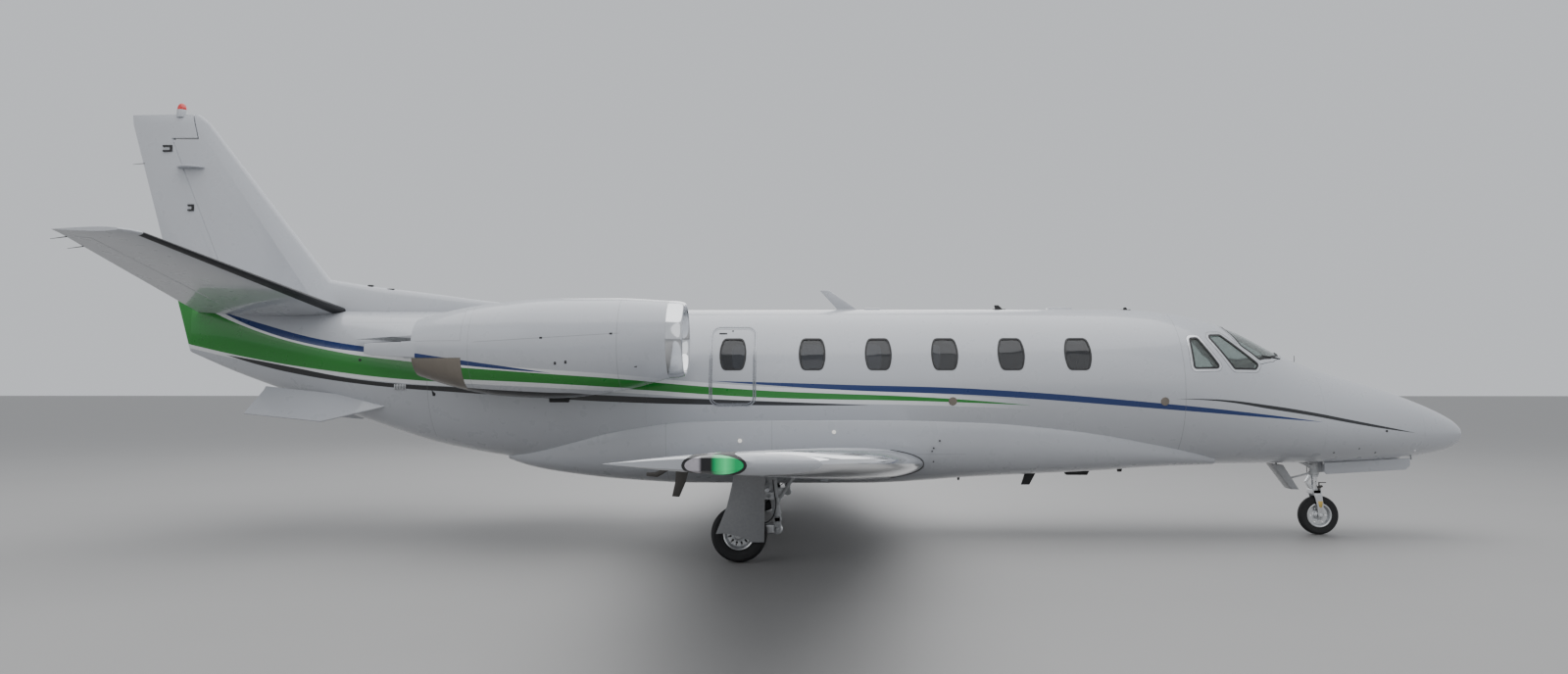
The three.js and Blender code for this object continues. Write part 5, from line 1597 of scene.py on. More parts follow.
def makeNoseGear():
    gear = noseGear
    s, x = gear["leg"], atStation(gear["leg"])
    centre = at(gear["wheel"], 0, gear["radius"])
    strut = spunPiece("noseStrut", [
        (0.0355, 0.700), (0.050, 0.700), (0.058, 0.706), (0.058, 0.738), (0.052, 0.744), (0.052, 0.760),
        (0.048, 0.768), (0.048, 0.90), (0.051, 0.903), (0.051, 0.935), (0.048, 0.938), (0.048, gear["top"]),
        (0.0, gear["top"]), (0.0, 0.776), (0.0355, 0.776)], "Z", (x, 0, 0), 64)
    half = gear["wellHalf"]
    parts = [strut, box("trunnion", (x - 0.04, -half, 1.01), (x + 0.04, half, 1.06), 0.008),
        acrossRod("crossBar", 2.18, 1.0, -half, half, 0.022, 32, 0.003)]
    for sign in (-1, 1):
        parts += [
            rod("dragBrace", at(s + 0.03, sign * 0.028, 0.795), at(2.18, sign * 0.028, 1.0), 0.015, 0.017,
                28),
            acrossRod("braceEye", s + 0.03, 0.795, sign * 0.045, sign * 0.011, 0.024, 28, 0.003),
            box("steerLug", (x - 0.088, sign * 0.030 - 0.007, 0.835),
                (x - 0.03, sign * 0.030 + 0.007, 0.875), 0.004)]
    parts += [
        acrossRod("steerJack", s + 0.07, 0.855, -0.05, 0.05, 0.016, 24, 0.002),
        rod("doorRod", at(2.06, 0, 0.64), at(s + 0.045, 0, 0.72), 0.011, sides=20),
        rod("upperRod", at(2.168, -0.06, 1.0), at(2.168, -0.06, 0.79), 0.012, sides=20)]
    deliver(joinAll("noseStrut", parts), "gearPaint", replaces=["nose_strut"])

    plate = sideShape("noseAftDoor", [(2.10, 0.82), (2.235, 0.838), (2.01, 0.535), (1.92, 0.535),
        (1.94, 0.56)], -0.10, 0.10, 0.008)
    ribs = [box("rib", at(2.06, sign * 0.06 - 0.004, 0.62), at(2.00, sign * 0.06 + 0.004, 0.66), 0.002)
        for sign in (-1, 1)]
    # the aft door's white paint is given as a darker grey: painted shade
    deliver(joinAll("noseAftDoor", [plate] + ribs), "paintedShadeDoorPaint")
    deliver(pipe("noseBrakePipe", [(x - 0.052, 0.02, 1.02), (x - 0.058, 0.03, 0.95),
        (x - 0.060, 0.032, 0.86), (x - 0.066, 0.034, 0.76), (x - 0.060, 0.03, 0.705)], 0.004), "sealRubber")

    piston = rod("nosePiston", (x, 0, 0.525), (x, 0, gear["pistonTop"]), 0.034, sides=48)
    deliver(piston, "chromeRod", "nose_steer")
    crown = box("noseFork", (x - 0.052, -0.082, 0.478), (x + 0.052, 0.082, 0.535), 0.010)
    arm = [(1.660, 0.532), (1.754, 0.532), (1.752, 0.500), (1.730, 0.430), (1.708, 0.340), (1.701, 0.270)]
    arm += [(gear["wheel"] + u, v) for u, v in arc((0, gear["radius"]), (0.031, 0.031), 0, -180, 10)]
    arm += [(1.634, 0.280), (1.634, 0.360), (1.646, 0.450)]
    parts = [crown]
    for sign in (-1, 1):
        low, high = sorted((sign * 0.066, sign * 0.082))
        parts += [
            sideShape("arm", arm, low, high, 0.005),
            acrossRod("nut", gear["wheel"], gear["radius"], sign * 0.080, sign * 0.094, 0.024, 6, 0.002)]
    parts += [
        acrossRod("axle", gear["wheel"], gear["radius"], -0.088, 0.088, 0.017),
        sideShape("lowerScissor", [(1.730, 0.535), (1.730, 0.570), (1.795, 0.622), (1.808, 0.612),
            (1.800, 0.596), (1.765, 0.535)], -0.024, 0.024, 0.004),
        sideShape("upperScissor", [(1.745, 0.698), (1.762, 0.706), (1.812, 0.625), (1.808, 0.606),
            (1.794, 0.606), (1.740, 0.680)], -0.020, 0.020, 0.004),
        acrossRod("scissorPin", 1.802, 0.614, -0.032, 0.032, 0.008, 24, 0.001),
        acrossRod("collarPin", 1.738, 0.690, -0.030, 0.030, 0.009, 24, 0.001),
        spunPiece("collar", [(0.0345, 0.676), (0.047, 0.676), (0.050, 0.680), (0.050, 0.692), (0.047, 0.696),
            (0.0345, 0.696)], "Z", (x, 0, 0), 48)]
    deliver(joinAll("noseFork", parts), "wheelAlloy", "nose_steer", ["nose_fork"])
    roller = acrossRod("towRoller", s - 0.078, 0.565, -0.030, 0.030, 0.014, 28, 0.003)
    stalk = box("stalk", (x + 0.030, -0.012, 0.538), (x + 0.078, 0.012, 0.566), 0.004)
    pin = rod("towPin", (x + 0.02, -0.09, 0.615), (x + 0.10, -0.09, 0.615), 0.005, sides=16)
    pinArm = box("pinArm", (x + 0.015, -0.094, 0.525), (x + 0.027, -0.078, 0.622), 0.003)
    deliver(joinAll("towFitting", [roller, stalk, pin, pinArm]), "darkMetal", "nose_steer")
    tag = sideShape("serviceTag", [(1.700, 0.395), (1.644, 0.395), (1.652, 0.330), (1.668, 0.318),
        (1.688, 0.330)], -0.0845, -0.0815, 0.001)
    deliver(tag, "brassPlate", "nose_steer")
    tyre = makeTyre("noseTyre", centre, gear["rim"], gear["radius"], gear["half"], (-0.2, 0.2))
    deliver(tyre, "tyreRubber", "nose_roller", ["nose_tyre"])
    wheel = makeWheel("noseWheel", centre, gear["rim"], 0.056, gear["bore"] + 0.0006, 6, -1, (0.020, 0.020))
    deliver(wheel, "wheelAlloy", "nose_roller", ["nose_wheel"])


def makeNoseDoor():
    door = noseGear["door"]
    (front, frontZ), (back, backZ) = door["front"], door["back"]
    y, half = -door["y"], door["half"]
    leaf = sideShape("noseDoor_right", [
        (front, frontZ + 0.003), (back, backZ + 0.003), (back, backZ - door["drop"] + 0.02),
        (back - 0.02, backZ - door["drop"]), (front + 0.05, frontZ - door["drop"]),
        (front, frontZ - door["drop"] + 0.05)], y - half, y + half, 0.003)
    parts = [leaf]
    for share in (0.12, 0.38, 0.64, 0.9):
        s, z = front + (back - front) * share, frontZ + (backZ - frontZ) * share
        # each rib ends below the hinge, clear of the well's edge when the door is shut
        parts.append(box("rib", (atStation(s) - 0.010, y + half - 0.001, z - 0.105),
            (atStation(s) + 0.010, y + half + 0.007, z - 0.014), 0.002))
    along = (Vector(at(back, 0, backZ)) - Vector(at(front, 0, frontZ))).normalized()
    start = Vector(at(front, y, frontZ)) - along * 0.02
    end = Vector(at(back, y, backZ)) + along * 0.02
    parts.append(rod("pin", start, end, 0.006, sides=20))
    leaf = joinAll("noseDoor_right", parts)
    ends = ((front - 0.0145, frontZ), (back + 0.0145, backZ))
    knuckles = [box("knuckle", (atStation(s) - 0.0065, y - 0.012, z - 0.012),
        (atStation(s) + 0.0065, y + 0.012, z + 0.058), 0.003) for s, z in ends]
    knuckle = joinAll("noseDoorKnuckles_right", knuckles)
    cutAway(knuckle, rod("bore", start - along * 0.02, end + along * 0.02, 0.0066, sides=20))
    deliverPair(leaf, "plainPaint", "white_paint", "nose_door", "nose_door")
    deliverPair(knuckle, "gearSteel", "gear_steel")


mainGear = {"wheel": 8.35, "radius": 0.2775, "rim": 0.152, "half": 0.10, "y": 2.27, "legY": 2.065,
    "pivot": (7.975, 0.300), "bore": 0.0277, "holes": 12, "doorY": (2.405, 2.420)}


def makeMainGear():
    gear = mainGear
    y, wheelY = -gear["legY"], -gear["y"]
    pivotStation, pivotZ = gear["pivot"]
    pivot = atStation(pivotStation)
    centre = at(gear["wheel"], wheelY, gear["radius"])

    def legAt(station, z, across=y):
        return at(station, across, z)

    wingCut = panelLoft("wingCut", [wing["root"], wing["tip"]], grow=closeFit, sides=48)
    post = rod("leg", legAt(8.055, 1.0), legAt(7.975, 0.38), 0.046, 0.042, 48)
    cutAway(post, wingCut, keep=True)
    parts = [post]
    for z in (0.46, 0.60, 0.78):
        station = 7.975 + (z - 0.38) / 0.62 * 0.08
        parts.append(rod("band", legAt(station + 0.0016, z + 0.0125), legAt(station - 0.0016, z - 0.0125),
            0.0495, 0.049, 48, 0.003))
    for low, high in ((-0.062, -0.040), (0.040, 0.062)):
        cheek = [(pivotStation + u, v) for u, v in arc((0, pivotZ), (0.036, 0.036), 180, 360, 10)]
        cheek += [(pivotStation + 0.034, 0.425), (pivotStation - 0.034, 0.425)]
        parts.append(sideShape("cheek", cheek, y + low, y + high, 0.004))
    parts += [
        box("yoke", (pivot - 0.036, y - 0.062, 0.372), (pivot + 0.036, y + 0.062, 0.430), 0.010),
        acrossRod("pivotPin", *gear["pivot"], y - 0.066, y + 0.066, 0.0255, 40, 0.002),
        acrossRod("pivotNut", *gear["pivot"], y - 0.084, y - 0.064, 0.024, 6, 0.002),
        rod("shockLug", legAt(8.150, 0.700), legAt(8.040, 0.760), 0.024, sides=28),
        rod("doorArm", legAt(8.05, 0.665), legAt(8.05, 0.665, -gear["doorY"][0] - 0.0003), 0.020, sides=28),
        box("doorFoot", at(8.10, -gear["doorY"][0] - 0.0003, 0.630),
            at(8.00, -gear["doorY"][0] + 0.012, 0.700), 0.003)]
    leg = joinAll("mainLeg_right", parts)
    strutBar = rod("brace", legAt(7.990, 0.560), legAt(7.760, 0.900), 0.020, 0.018, 32)
    cutAway(strutBar, wingCut, keep=True)
    brace = [strutBar, acrossRod("braceEye", 7.990, 0.560, y - 0.040, y + 0.040, 0.030, 32, 0.004)]
    brace = joinAll("mainBrace_right", brace)
    body = rod("shock", legAt(8.2045, 0.512), legAt(8.165, 0.700), 0.034, sides=40)
    lower = rod("shockRod", legAt(8.230, 0.390), legAt(8.2045, 0.512), 0.022, sides=32)
    upper = rod("upperShock", legAt(8.165, 0.690), legAt(8.120, 0.900), 0.026, sides=32)
    cutAway(upper, wingCut, keep=True)
    rings = [rod("ring", legAt(8.2045 - 0.0395 * t, 0.512 + 0.188 * t),
        legAt(8.2045 - 0.0395 * (t + 0.08), 0.512 + 0.188 * (t + 0.08)), 0.038, sides=40, edge=0.002)
        for t in (0.0, 0.92)]
    eye = acrossRod("eye", 8.230, 0.385, y - 0.030, y + 0.030, 0.028, 32, 0.004)
    shock = joinAll("mainShock_right", [body, upper, eye] + rings)

    link = [(7.975, 0.347), (8.06, 0.352), (8.195, 0.338), (8.200, 0.358), (8.262, 0.356), (8.270, 0.336),
        (8.345, 0.322)]
    link += [(8.350 + u, v) for u, v in arc((0, 0.2775), (0.050, 0.050), 70, -70, 10)]
    link += [(8.290, 0.236), (7.975, 0.262)]
    trail = sideShape("mainLink_right", link, y - 0.036, y + 0.036, 0.009)
    boss = acrossRod("pivotBoss", *gear["pivot"], y - 0.036, y + 0.036, 0.052, 48, 0.005)
    combine(trail, boss, "UNION")
    cutAway(trail, acrossRod("bore", *gear["pivot"], y - 0.08, y + 0.08, 0.0262, 40),
        rod("bore", legAt(8.236, 0.361), legAt(8.160, 0.724), 0.036, sides=40))
    lever = [acrossRod("axle", gear["wheel"], gear["radius"], y, wheelY - 0.088, 0.027, 40),
        acrossRod("axleBoss", gear["wheel"], gear["radius"], y + 0.034, y - 0.052, 0.062, 48, 0.005)]
    trail = joinAll("mainLink_right", [trail] + lever)
    discs = []
    for k in range(4):
        across = -2.128 - 0.016 * k
        discs.append(spunPiece("disc", [(0.066, 0.004), (0.112, 0.004), (0.114, 0.0), (0.112, -0.004),
            (0.066, -0.004)], "Y", (centre[0], across, centre[2]), 56))
    housing = spunPiece("housing", [(0.060, 0.012), (0.100, 0.012), (0.104, 0.006), (0.104, -0.004),
        (0.060, -0.004)], "Y", (centre[0], -2.118, centre[2]), 56)
    for i in range(5):
        turn = math.radians(30 + 72 * i)
        cx, cz = centre[0] + 0.082 * math.cos(turn), centre[2] + 0.082 * math.sin(turn)
        discs.append(rod("cylinder", (cx, -2.104, cz), (cx, -2.118, cz), 0.018, sides=28, edge=0.003))
    brake = joinAll("mainBrake_right", [housing] + discs)
    hose = pipe("mainBrakePipe_right", [legAt(8.020, 0.80, y - 0.050), legAt(8.010, 0.70, y - 0.053),
        legAt(7.992, 0.52, y - 0.053), legAt(8.06, 0.385, y - 0.052), legAt(8.20, 0.362, y - 0.052),
        legAt(8.30, 0.345, y - 0.052), legAt(8.325, 0.335, -2.112)], 0.005)
    tyre = makeTyre("mainTyre_right", centre, gear["rim"], gear["radius"], gear["half"], (-0.30, 0.0, 0.30))
    wheel = makeWheel("mainWheel_right", centre, gear["rim"], 0.088, gear["bore"], gear["holes"], -1,
        (0.020, 0.042))

    rows = [(8.085, 0.96), (8.372, 0.96), (8.462, 0.56), (8.570, 0.292), (8.500, 0.298), (8.440, 0.290),
        (8.380, 0.276), (8.310, 0.256), (8.250, 0.238), (8.238, 0.212), (8.095, 0.212)]
    near, far = gear["doorY"]
    door = sideShape("mainDoor_right", rows, -far, -near, 0.004)
    frames = [box("doorFrame", at(8.42, -near - 0.001, z - 0.012), at(8.11, -near + 0.010, z + 0.012), 0.003)
        for z in (0.42, 0.56, 0.72)]
    cutAway(door, panelLoft("wingRoom", [wing["root"], wing["tip"]], grow=0.003, sides=48))
    door = joinAll("mainDoor_right", [door] + frames)
    remove(wingCut)

    lower.name = "shockRod_right"
    # the main door's white paint is given as a darker grey: painted shade
    for settings in ((leg, "gearPaint", "gear_steel", "main_leg"), (brace, "gearPaint", "gear_steel"),
            (shock, "gearPaint", "gear_steel"), (lower, "chromeRod", "gear_steel"),
            (trail, "wheelAlloy", "wheel_alloy", "main_link"), (brake, "darkMetal", "gear_steel"),
            (hose, "sealRubber", "gear_steel"), (tyre, "tyreRubber", "tyre", "main_tyre", "main_roller"),
            (wheel, "wheelAlloy", "wheel_alloy", "main_wheel", "main_roller"),
            (door, "paintedShadeDoorPaint", "white_paint", "main_door")):
        deliverPair(*settings)


makeNoseGear()
makeNoseDoor()
makeMainGear()
print("landing gear done")


# Cabin and cockpit

# A cushion: a block cut into rows, with its borders drawn in, its faces crowned, a welted seam
# round its middle and sewn channels across it, then smoothed. size is along, across and up.
def cushion(name, centre, size, crown, channels=0, lean=0.0, face="Z"):
    deselectAll()
    bpy.ops.mesh.primitive_cube_add(size=1, location=(0, 0, 0))
    pad = newest(name)
    startEdit(pad)
    bpy.ops.mesh.subdivide(number_cuts=5)
    rows = [-0.5, -1 / 3, -1 / 6, 0.0, 1 / 6, 1 / 3, 0.5]
    for axis in range(3):
        for row, place in ((1, -0.455), (2, -0.24), (4, 0.24), (5, 0.455)):
            pickVerts(pad, lambda co: abs(co[axis] - rows[row]) < 1e-4)
            move = [0, 0, 0]
            move[axis] = place - rows[row]
            bpy.ops.transform.translate(value=move)
    for reach, rise in ((0.46, 0.35), (0.26, 0.65)):
        for sign in (-1, 1):
            pickVerts(pad, lambda co: co.z * sign > 0.49 and abs(co.x) < reach and abs(co.y) < reach)
            bpy.ops.transform.translate(value=(0, 0, sign * rise * crown / size[2]))
    pickVerts(pad, lambda co: abs(co.z) < 0.02 and max(abs(co.x), abs(co.y)) > 0.49)
    bpy.ops.transform.resize(value=(1.03, 1.03, 1))
    for k in range(channels):
        place = (-0.24, 0.24, 0.0)[k]
        pickVerts(pad, lambda co: co.z > 0.4 and abs(co.x - place) < 0.02 and abs(co.y) < 0.48)
        bpy.ops.transform.translate(value=(0, 0, -0.55 * crown / size[2]))
    pickVerts(pad, lambda co: True)
    bpy.ops.transform.resize(value=size)
    endEdit()
    finishWith(pad, "SUBSURF", levels=2, render_levels=2)
    activate(pad)
    pad.rotation_euler = (0, lean + (math.pi / 2 if face == "X" else 0), 0)
    pad.location = centre
    return newest(name)


seat = {"rows": ((3.03, 1), (4.80, -1), (6.00, 1), (6.90, -1), (7.95, 1)), "y": 0.395, "width": 0.45,
    "base": 1.1063, "floor": 1.0803, "back": math.radians(11.5)}


def makeSeats():
    base, half = seat["base"], seat["width"] / 2
    soft = [
        cushion("cushion", (0.02, 0, base + 0.325), (0.44, 0.40, 0.125), 0.022, channels=2),
        cushion("backrest", (-0.268, 0, base + 0.63), (0.52, 0.40, 0.10), 0.020, channels=2,
            lean=-seat["back"], face="X"),
        cushion("headrest", (-0.338, 0, base + 0.935), (0.155, 0.30, 0.085), 0.016, lean=-seat["back"],
            face="X"),
    ]
    soft += [cushion("armPad", (-0.03, sign * (half - 0.024), base + 0.452), (0.30, 0.044, 0.040), 0.006)
        for sign in (-1, 1)]
    hard = [outlinePlate("shell", [(-0.345, 0.30), (-0.300, 0.30), (-0.418, 0.99), (-0.436, 0.975)], "Y",
        -half + 0.02, half - 0.02, 0.010)]
    hard[0].data.transform(Matrix.Translation((0, 0, base)))
    hard += [
        box("pan", (-0.27, -0.20, base + 0.235), (0.21, 0.20, base + 0.270), 0.010),
        outlinePlate("pedestal", [(-0.18, base), (0.08, base), (0.11, base + 0.24), (-0.20, base + 0.235)],
            "Y", -0.15, 0.15, 0.015)]
    hard += [box("armBox", (-0.19, sign * (half - 0.024) - 0.016, base + 0.24),
        (0.12, sign * (half - 0.024) + 0.016, base + 0.435), 0.012) for sign in (-1, 1)]
    softOne, hardOne = joinAll("softOne", soft), joinAll("hardOne", hard)
    pads, frames = [], []
    for station, facing in seat["rows"]:
        for sign in (-1, 1):
            for one, made in ((softOne, pads), (hardOne, frames)):
                copy = duplicateOf(one, "seat", size=(facing, facing, 1))
                made.append(duplicateOf(copy, "seat", move=at(station, sign * seat["y"], 0)))
                remove(copy)
    remove(softOne, hardOne)
    rails = []
    for sign in (-1, 1):
        for across in (-0.06, 0.06):
            y = sign * seat["y"] + across
            rails.append(box("rail", at(8.20, y - 0.015, seat["floor"]), at(2.79, y + 0.015, base), 0.004))
    doorway = box("doorway", at(4.22, 0.3, 1.0), at(3.54, 1.0, 1.3))
    for rail in rails:
        cutAway(rail, doorway, keep=True)
    remove(doorway)
    pads = joinAll("seatPads", pads)
    deliver(pads, "seatLeather", replaces=["seats"], smooth=60)
    deliver(joinAll("seatFrames", frames), "panelPlastic")
    deliver(joinAll("seatRails", rails), "gearSteel")


cockpit = {"panel": [(2.20, 1.905), (2.23, 1.935), (2.56, 1.925), (2.575, 1.87), (2.50, 1.86), (2.50, 1.50),
    (2.44, 1.30), (2.44, 1.1804), (2.20, 1.1804)], "screens": (-0.46, 0.0, 0.46), "yoke": 0.36}


def makeCockpit():
    panel = sideShape("instrumentPanel", cockpit["panel"], -0.76, 0.76, 0.012)
    overlapOf(panel, hullLoft("inside", evenly(2.0, 2.8, 0.1), hull["wall"] + 0.013))
    parts = [panel]
    face = atStation(2.50)
    for y in cockpit["screens"]:
        parts.append(box("bezel", (face - 0.014, y - 0.165, 1.60), (face + 0.01, y + 0.165, 1.825), 0.006))
    for k in range(9):
        parts.append(rod("knob", (face, -0.32 + 0.08 * k, 1.555), (face - 0.022, -0.32 + 0.08 * k, 1.555),
            0.010, sides=20, edge=0.002))
    parts.append(box("pedestal", at(2.95, -0.10, 1.075), at(2.45, 0.10, 1.36), 0.02))
    for k in range(2):
        parts.append(box("lever", at(2.66, -0.028 + 0.046 * k, 1.34), at(2.64, -0.010 + 0.046 * k, 1.46),
            0.004))
    deliver(joinAll("instrumentPanel", parts), "panelPlastic",
        replaces=["instrument_panel"])
    screens = [box("screen", (face - 0.0155, y - 0.145, 1.62), (face - 0.0135, y + 0.145, 1.805), 0.0008)
        for y in cockpit["screens"]]
    deliver(joinAll("instrumentScreens", screens), "screenGlass")
    yokes = []
    for sign in (-1, 1):
        y, x = sign * cockpit["yoke"], atStation(2.66)
        yokes += [
            rod("column", (face, y, 1.50), (x, y, 1.50), 0.014, sides=24),
            box("hub", (x - 0.02, y - 0.05, 1.475), (x + 0.02, y + 0.05, 1.525), 0.012)]
        for way in (-1, 1):
            yokes += [
                rod("horn", (x, y + way * 0.045, 1.495), (x, y + way * 0.13, 1.475), 0.012, sides=20),
                rod("grip", (x, y + way * 0.13, 1.470), (x, y + way * 0.145, 1.60), 0.015, sides=20,
                    edge=0.004)]
    deliver(joinAll("controlWheels", yokes), "blackTrim")


makeSeats()
makeCockpit()
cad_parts["cabin_floor"].material_slots[0].material = finishes["carpet"]
print("cabin done")


# Small fittings on the skin

def skinOut(station, height, sign=-1):
    # the direction straight out of the skin
    step = 0.004
    along = hullPoint(station + step, height, sign) - hullPoint(station - step, height, sign)
    upward = hullPoint(station, height + step, sign) - hullPoint(station, height - step, sign)
    out = along.cross(upward).normalized()
    return out if out.y * sign > 0 else -out


def skinDisc(name, station, height, radius, proud=0.002, sign=-1, sides=24):
    place, out = hullPoint(station, height, sign), skinOut(station, height, sign)
    return rod(name, place - out * 0.006, place + out * proud, radius, radius * 0.93, sides, proud * 0.3)


# A blade antenna on its foot, drawn from the side; foot and tip are front, back and height.
def bladeAntenna(name, foot, tip, thickness, y=0.0):
    outline = [(foot[0], foot[2]), (foot[1], foot[2]), (tip[1], tip[2]), (tip[0], tip[2])]
    blade = sideShape(name, outline, y - thickness / 2, y + thickness / 2, thickness * 0.35)
    base = box("foot", (atStation(foot[1]) - 0.03, y - thickness * 1.5, foot[2] - 0.01),
        (atStation(foot[0]) + 0.03, y + thickness * 1.5, foot[2] + 0.008), 0.004)
    return joinAll(name, [blade, base])


# Columns: name, foot (front, back, height), tip, thickness, finish.
antennas = [
    ("roofBlade", (7.08, 7.32, 2.660), (7.43, 7.54, 2.90), 0.020, "plainPaint"),
    ("roofFin", (5.34, 5.44, 2.660), (5.40, 5.45, 2.715), 0.010, "blackTrim"),
    ("roofStud", (3.86, 3.92, 2.652), (3.88, 3.91, 2.685), 0.012, "blackTrim"),
    ("bellyBlade", (4.97, 5.10, 0.722), (5.05, 5.15, 0.575), 0.016, "blackTrim"),
    ("bellyStub", (3.95, 4.02, 0.786), (3.96, 4.01, 0.730), 0.020, "blackTrim"),
    ("bellyPeg", (5.87, 5.91, 0.684), (5.88, 5.90, 0.625), 0.014, "blackTrim"),
]
# Columns: name, front, back, low, high, half width, finish, of the low covers along the middle.
covers = [
    ("roofCover", 6.80, 7.02, 2.64, 2.681, 0.06, "plainPaint"),
    ("frontRoofCover", 4.52, 4.84, 2.64, 2.684, 0.07, "plainPaint"),
    ("ridgeCover", 12.69, 12.875, 2.86, 2.930, 0.045, "blackTrim"),
    ("ridgeAftCover", 12.96, 13.045, 2.90, 2.978, 0.035, "blackTrim"),
    ("bellyCover", 4.35, 4.64, 0.693, 0.760, 0.06, "blackTrim"),
]


def makeAntennas():
    for name, foot, tip, thickness, finish in antennas:
        deliver(bladeAntenna(name, foot, tip, thickness), finish)
    for name, front, back, low, high, half, finish in covers:
        cover = box(name, at(back, -half, low), at(front, half, high), 0.018, 4)
        startEdit(cover)
        pickVerts(cover, lambda co: co.z > (low + high) / 2 if low > 1.5 else co.z < (low + high) / 2)
        resizeBy((0.9, 0.75, 1), at((front + back) / 2, 0, low))
        endEdit()
        deliver(cover, finish)


# Ports, lamps and handles on the sides: station, height, radius, how proud, and finish.
sidePorts = [
    (1.692, 0.988, 0.012, 0.002, "blackTrim"), (1.410, 1.034, 0.010, 0.002, "blackTrim"),
    (1.181, 0.984, 0.012, 0.002, "blackTrim"), (1.107, 1.235, 0.014, 0.004, "blackTrim"),
    (0.675, 1.000, 0.018, 0.004, "frameMetal"), (3.713, 1.575, 0.050, 0.002, "bareMetal"),
    (6.060, 1.575, 0.050, 0.002, "bareMetal"), (12.90, 2.05, 0.018, 0.003, "blackTrim"),
]
# Columns: station, height, radius, finish, on the upright side of the belly fairing.
fairingPorts = [(6.201, 1.133, 0.010, "blackTrim"), (6.269, 1.051, 0.010, "blackTrim"),
                (6.287, 1.016, 0.009, "blackTrim"), (6.272, 0.901, 0.009, "blackTrim"),
                (8.440, 1.130, 0.024, "clearLamp"), (7.383, 1.230, 0.024, "clearLamp")]


def makeSideFittings():
    made = {}
    for station, height, radius, proud, finish in sidePorts:
        port = skinDisc("port", station, height, radius, proud)
        made.setdefault(finish, []).append(port)
    for station, height, radius, finish in fairingPorts:
        y = -fairingSize(station)[2]
        port = rod("port", at(station, y + 0.01, height), at(station, y - 0.005, height), radius,
            radius * 0.9, 24, 0.001)
        made.setdefault(finish, []).append(port)
    for finish, ports in made.items():
        deliver(joinAll(f"sidePorts_{finish}", bothSides(ports)), finish)
    handle = hullPoint(8.643, 2.34)
    grip = box("exitHandle", (handle.x - 0.045, handle.y - 0.004, 2.325),
        (handle.x + 0.045, handle.y + 0.02, 2.352), 0.004)
    dot = skinDisc("dot", 8.533, 2.375, 0.012, 0.003)
    deliver(joinAll("exitHandle", [grip, dot]), "blackTrim")
    slots = []
    for i in range(8):  # a vent of eight slots on the tail
        s = 12.325 + 0.0195 * i
        place = hullPoint(s, 1.735)
        slots.append(box("slot", (place.x - 0.006, place.y - 0.006, 1.700),
            (place.x + 0.006, place.y + 0.02, 1.770), 0.002))
    deliver(joinAll("tailVent", bothSides(slots)), "gearSteel")
    box1 = hullPoint(10.47, 1.60)
    intake = box("tailIntake", at(10.589, box1.y - 0.03, 1.562), at(10.365, box1.y + 0.06, 1.645), 0.012)
    blade = sideShape("blade", [(11.93, 1.70), (12.0, 1.70), (11.985, 1.632), (11.96, 1.632)], -0.70, -0.688,
        0.003)
    parts = [intake, blade]
    deliver(joinAll("tailIntakes", bothSides(parts)), "blackTrim")
    probe = rod("airProbe", at(1.909, 0, 1.98), at(1.909, 0, 2.105), 0.004, 0.003, 16)
    wipers = []
    for sign in (-1, 1):
        knots = [hullPoint(s, z, sign, 0.008) for s, z in ((2.24, 2.06), (2.36, 2.075), (2.50, 2.09))]
        wipers.append(pipe("wiper", knots, 0.007))
    deliver(joinAll("screenWipers", [probe] + wipers), "blackTrim")


def cowlPoint(station, height):
    top, bottom, half, wide = cowlShape(station)
    reach = (top - bottom) / 2
    return Vector(at(station, engine["y"] - half * math.sqrt(max(0.0, 1 - ((height - wide) / reach) ** 2)),
        height))


def makeCowlFittings():
    parts = []
    for station, height, wide, tall in ((10.29, 1.989, 0.022, 0.045), (10.18, 2.0, 0.022, 0.045),
            (9.464, 1.948, 0.03, 0.014), (10.435, 2.245, 0.03, 0.02), (9.71, 2.288, 0.03, 0.02)):
        place = cowlPoint(station, height)
        parts.append(box("slot", (place.x - wide / 2, place.y - 0.002, height - tall / 2),
            (place.x + wide / 2, place.y + 0.02, height + tall / 2), 0.002))
    y = engine["y"]
    parts.append(sideShape("drain", [(9.93, 1.72), (10.0, 1.72), (10.0, 1.662), (9.965, 1.662)], y - 0.007,
        y + 0.007, 0.003))
    deliver(joinAll("cowlFittings", bothSides(parts)), "blackTrim")


def finSkin(station, height):
    # half thickness of the fin and rudder at a place
    root, tip = fin["root"], fin["tip"]
    t = (height - root["z"]) / (tip["z"] - root["z"])
    keys = ("station", "chord", "thickness")
    front, chord, thick = (root[key] + (tip[key] - root[key]) * t for key in keys)
    return halfThickness(min(1.0, max(0.0, (station - front) / chord))) * thick


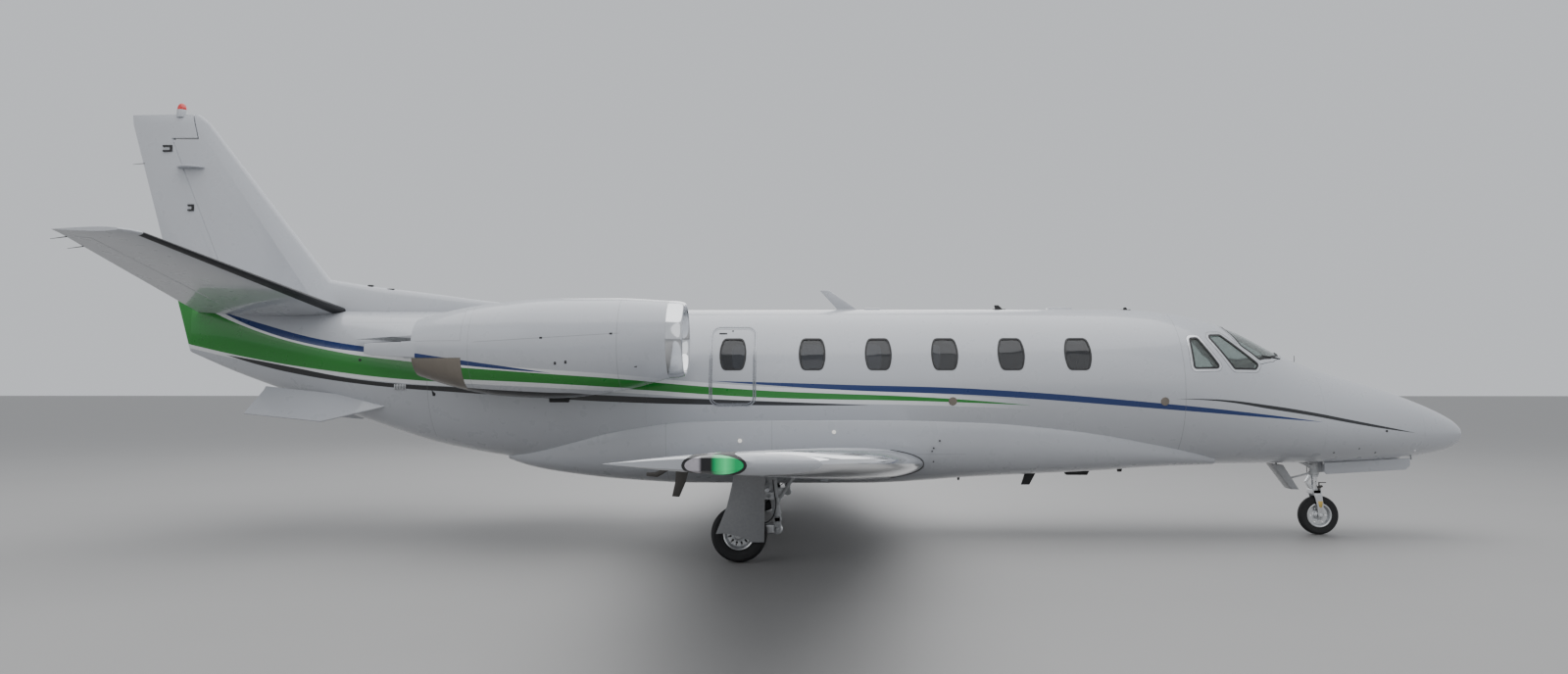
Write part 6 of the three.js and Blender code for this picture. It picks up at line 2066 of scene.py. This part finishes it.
def makeTailFittings():
    brackets = []
    for front, back, low, high in ((15.478, 15.594, 4.621, 4.703), (15.185, 15.262, 3.886, 3.967)):
        y = finSkin(front, (low + high) / 2)
        bracket = sideShape("bracket", [
            (front, high), (back, high), (back, high - 0.022), (front + 0.028, high - 0.022),
            (front + 0.028, low + 0.022), (back, low + 0.022), (back, low),
            (front, low)], -y - 0.010, -y + 0.012)
        brackets += [bracket, mirrored(bracket, "bracket")]
    deliver(joinAll("rudderBrackets", brackets), "blackTrim", "rudder")
    # a lens-shaped blade antenna stands out of each side of the fin
    height, front, back = 4.42, 15.06, 15.40
    y = finSkin((front + back) / 2, height)
    outline = arc(at((front + back) / 2, -y + 0.01), ((back - front) / 2, 0.15), 180, 360, 20)
    blade = outlinePlate("finBlade", outline, "Z", height - 0.008, height + 0.008, 0.004)
    deliver(joinAll("finBlades", [blade, mirrored(blade, "blade")]), "plainPaint")
    wick = rod("rudderWick", at(15.84, 0, 4.486), at(15.992, 0, 4.474), 0.005, 0.002, 12)
    deliver(wick, "blackTrim", "rudder")
    for side, sign in (("right", -1), ("left", 1)):
        wicks = [rod("wick", at(s, sign * y, z), at(s + 0.16, sign * y, z - 0.02), 0.005, 0.002, 12)
            for s, y, z in ((14.735, 3.03, 3.17), (14.775, 2.72, 3.115))]
        deliver(joinAll(f"elevatorWicks_{side}", wicks), "blackTrim", f"elevator_{side}")


# A lens in each wing tip, and its bezel, follow the tip's own skin.
def tipLens(name, grown, proud):
    first, last = tipLamp["station"]
    ends = [dict(wing["caps"][-1], y=wing["caps"][-1]["y"] - proud)]
    skin = panelLoft(name, [wing["tip"]] + wing["caps"][:-1] + ends, grow=proud)
    oval = outlinePlate("oval", arc(at((first + last) / 2, tipLamp["z"]),
        ((last - first) / 2 + grown, tipLamp["high"] + grown), 0, 348, 29), "Y", -8.7, -8.36)
    return overlapOf(skin, oval)


def makeTipLamps():
    lens, bezel = tipLens("tipLens_right", 0.0, 0.0035), tipLens("tipBezel_right", tipLamp["bezel"], 0.002)
    for side, lamp in (("right", "greenLamp"), ("left", "redLamp")):
        one = lens if side == "right" else mirrored(lens, "tipLens_left")
        ring = bezel if side == "right" else mirrored(bezel, "tipBezel_left")
        deliver(one, lamp)
        deliver(ring, "blackTrim")


# Arms below the flaps: (station, height) outlines in the plane of each arm.
flapArms = [(-3.5, [(8.70, 1.06), (8.83, 1.06), (8.835, 0.90), (8.865, 0.765), (8.80, 0.760),
    (8.745, 0.89)]), (-1.2, [(9.02, 0.93), (9.16, 0.905), (9.34, 0.80), (9.44, 0.80), (9.44, 0.765),
    (9.32, 0.75), (9.18, 0.83)])]


def makeFlapArms():
    plates = [sideShape("arm", outline, y - 0.012, y + 0.012, 0.004) for y, outline in flapArms]
    deliverPair(joinAll("flapArms_right", plates), "darkMetal", "gear_steel", body="flap")


makeAntennas()
makeSideFittings()
makeCowlFittings()
makeTailFittings()
makeTipLamps()
makeFlapArms()
print("fittings done")
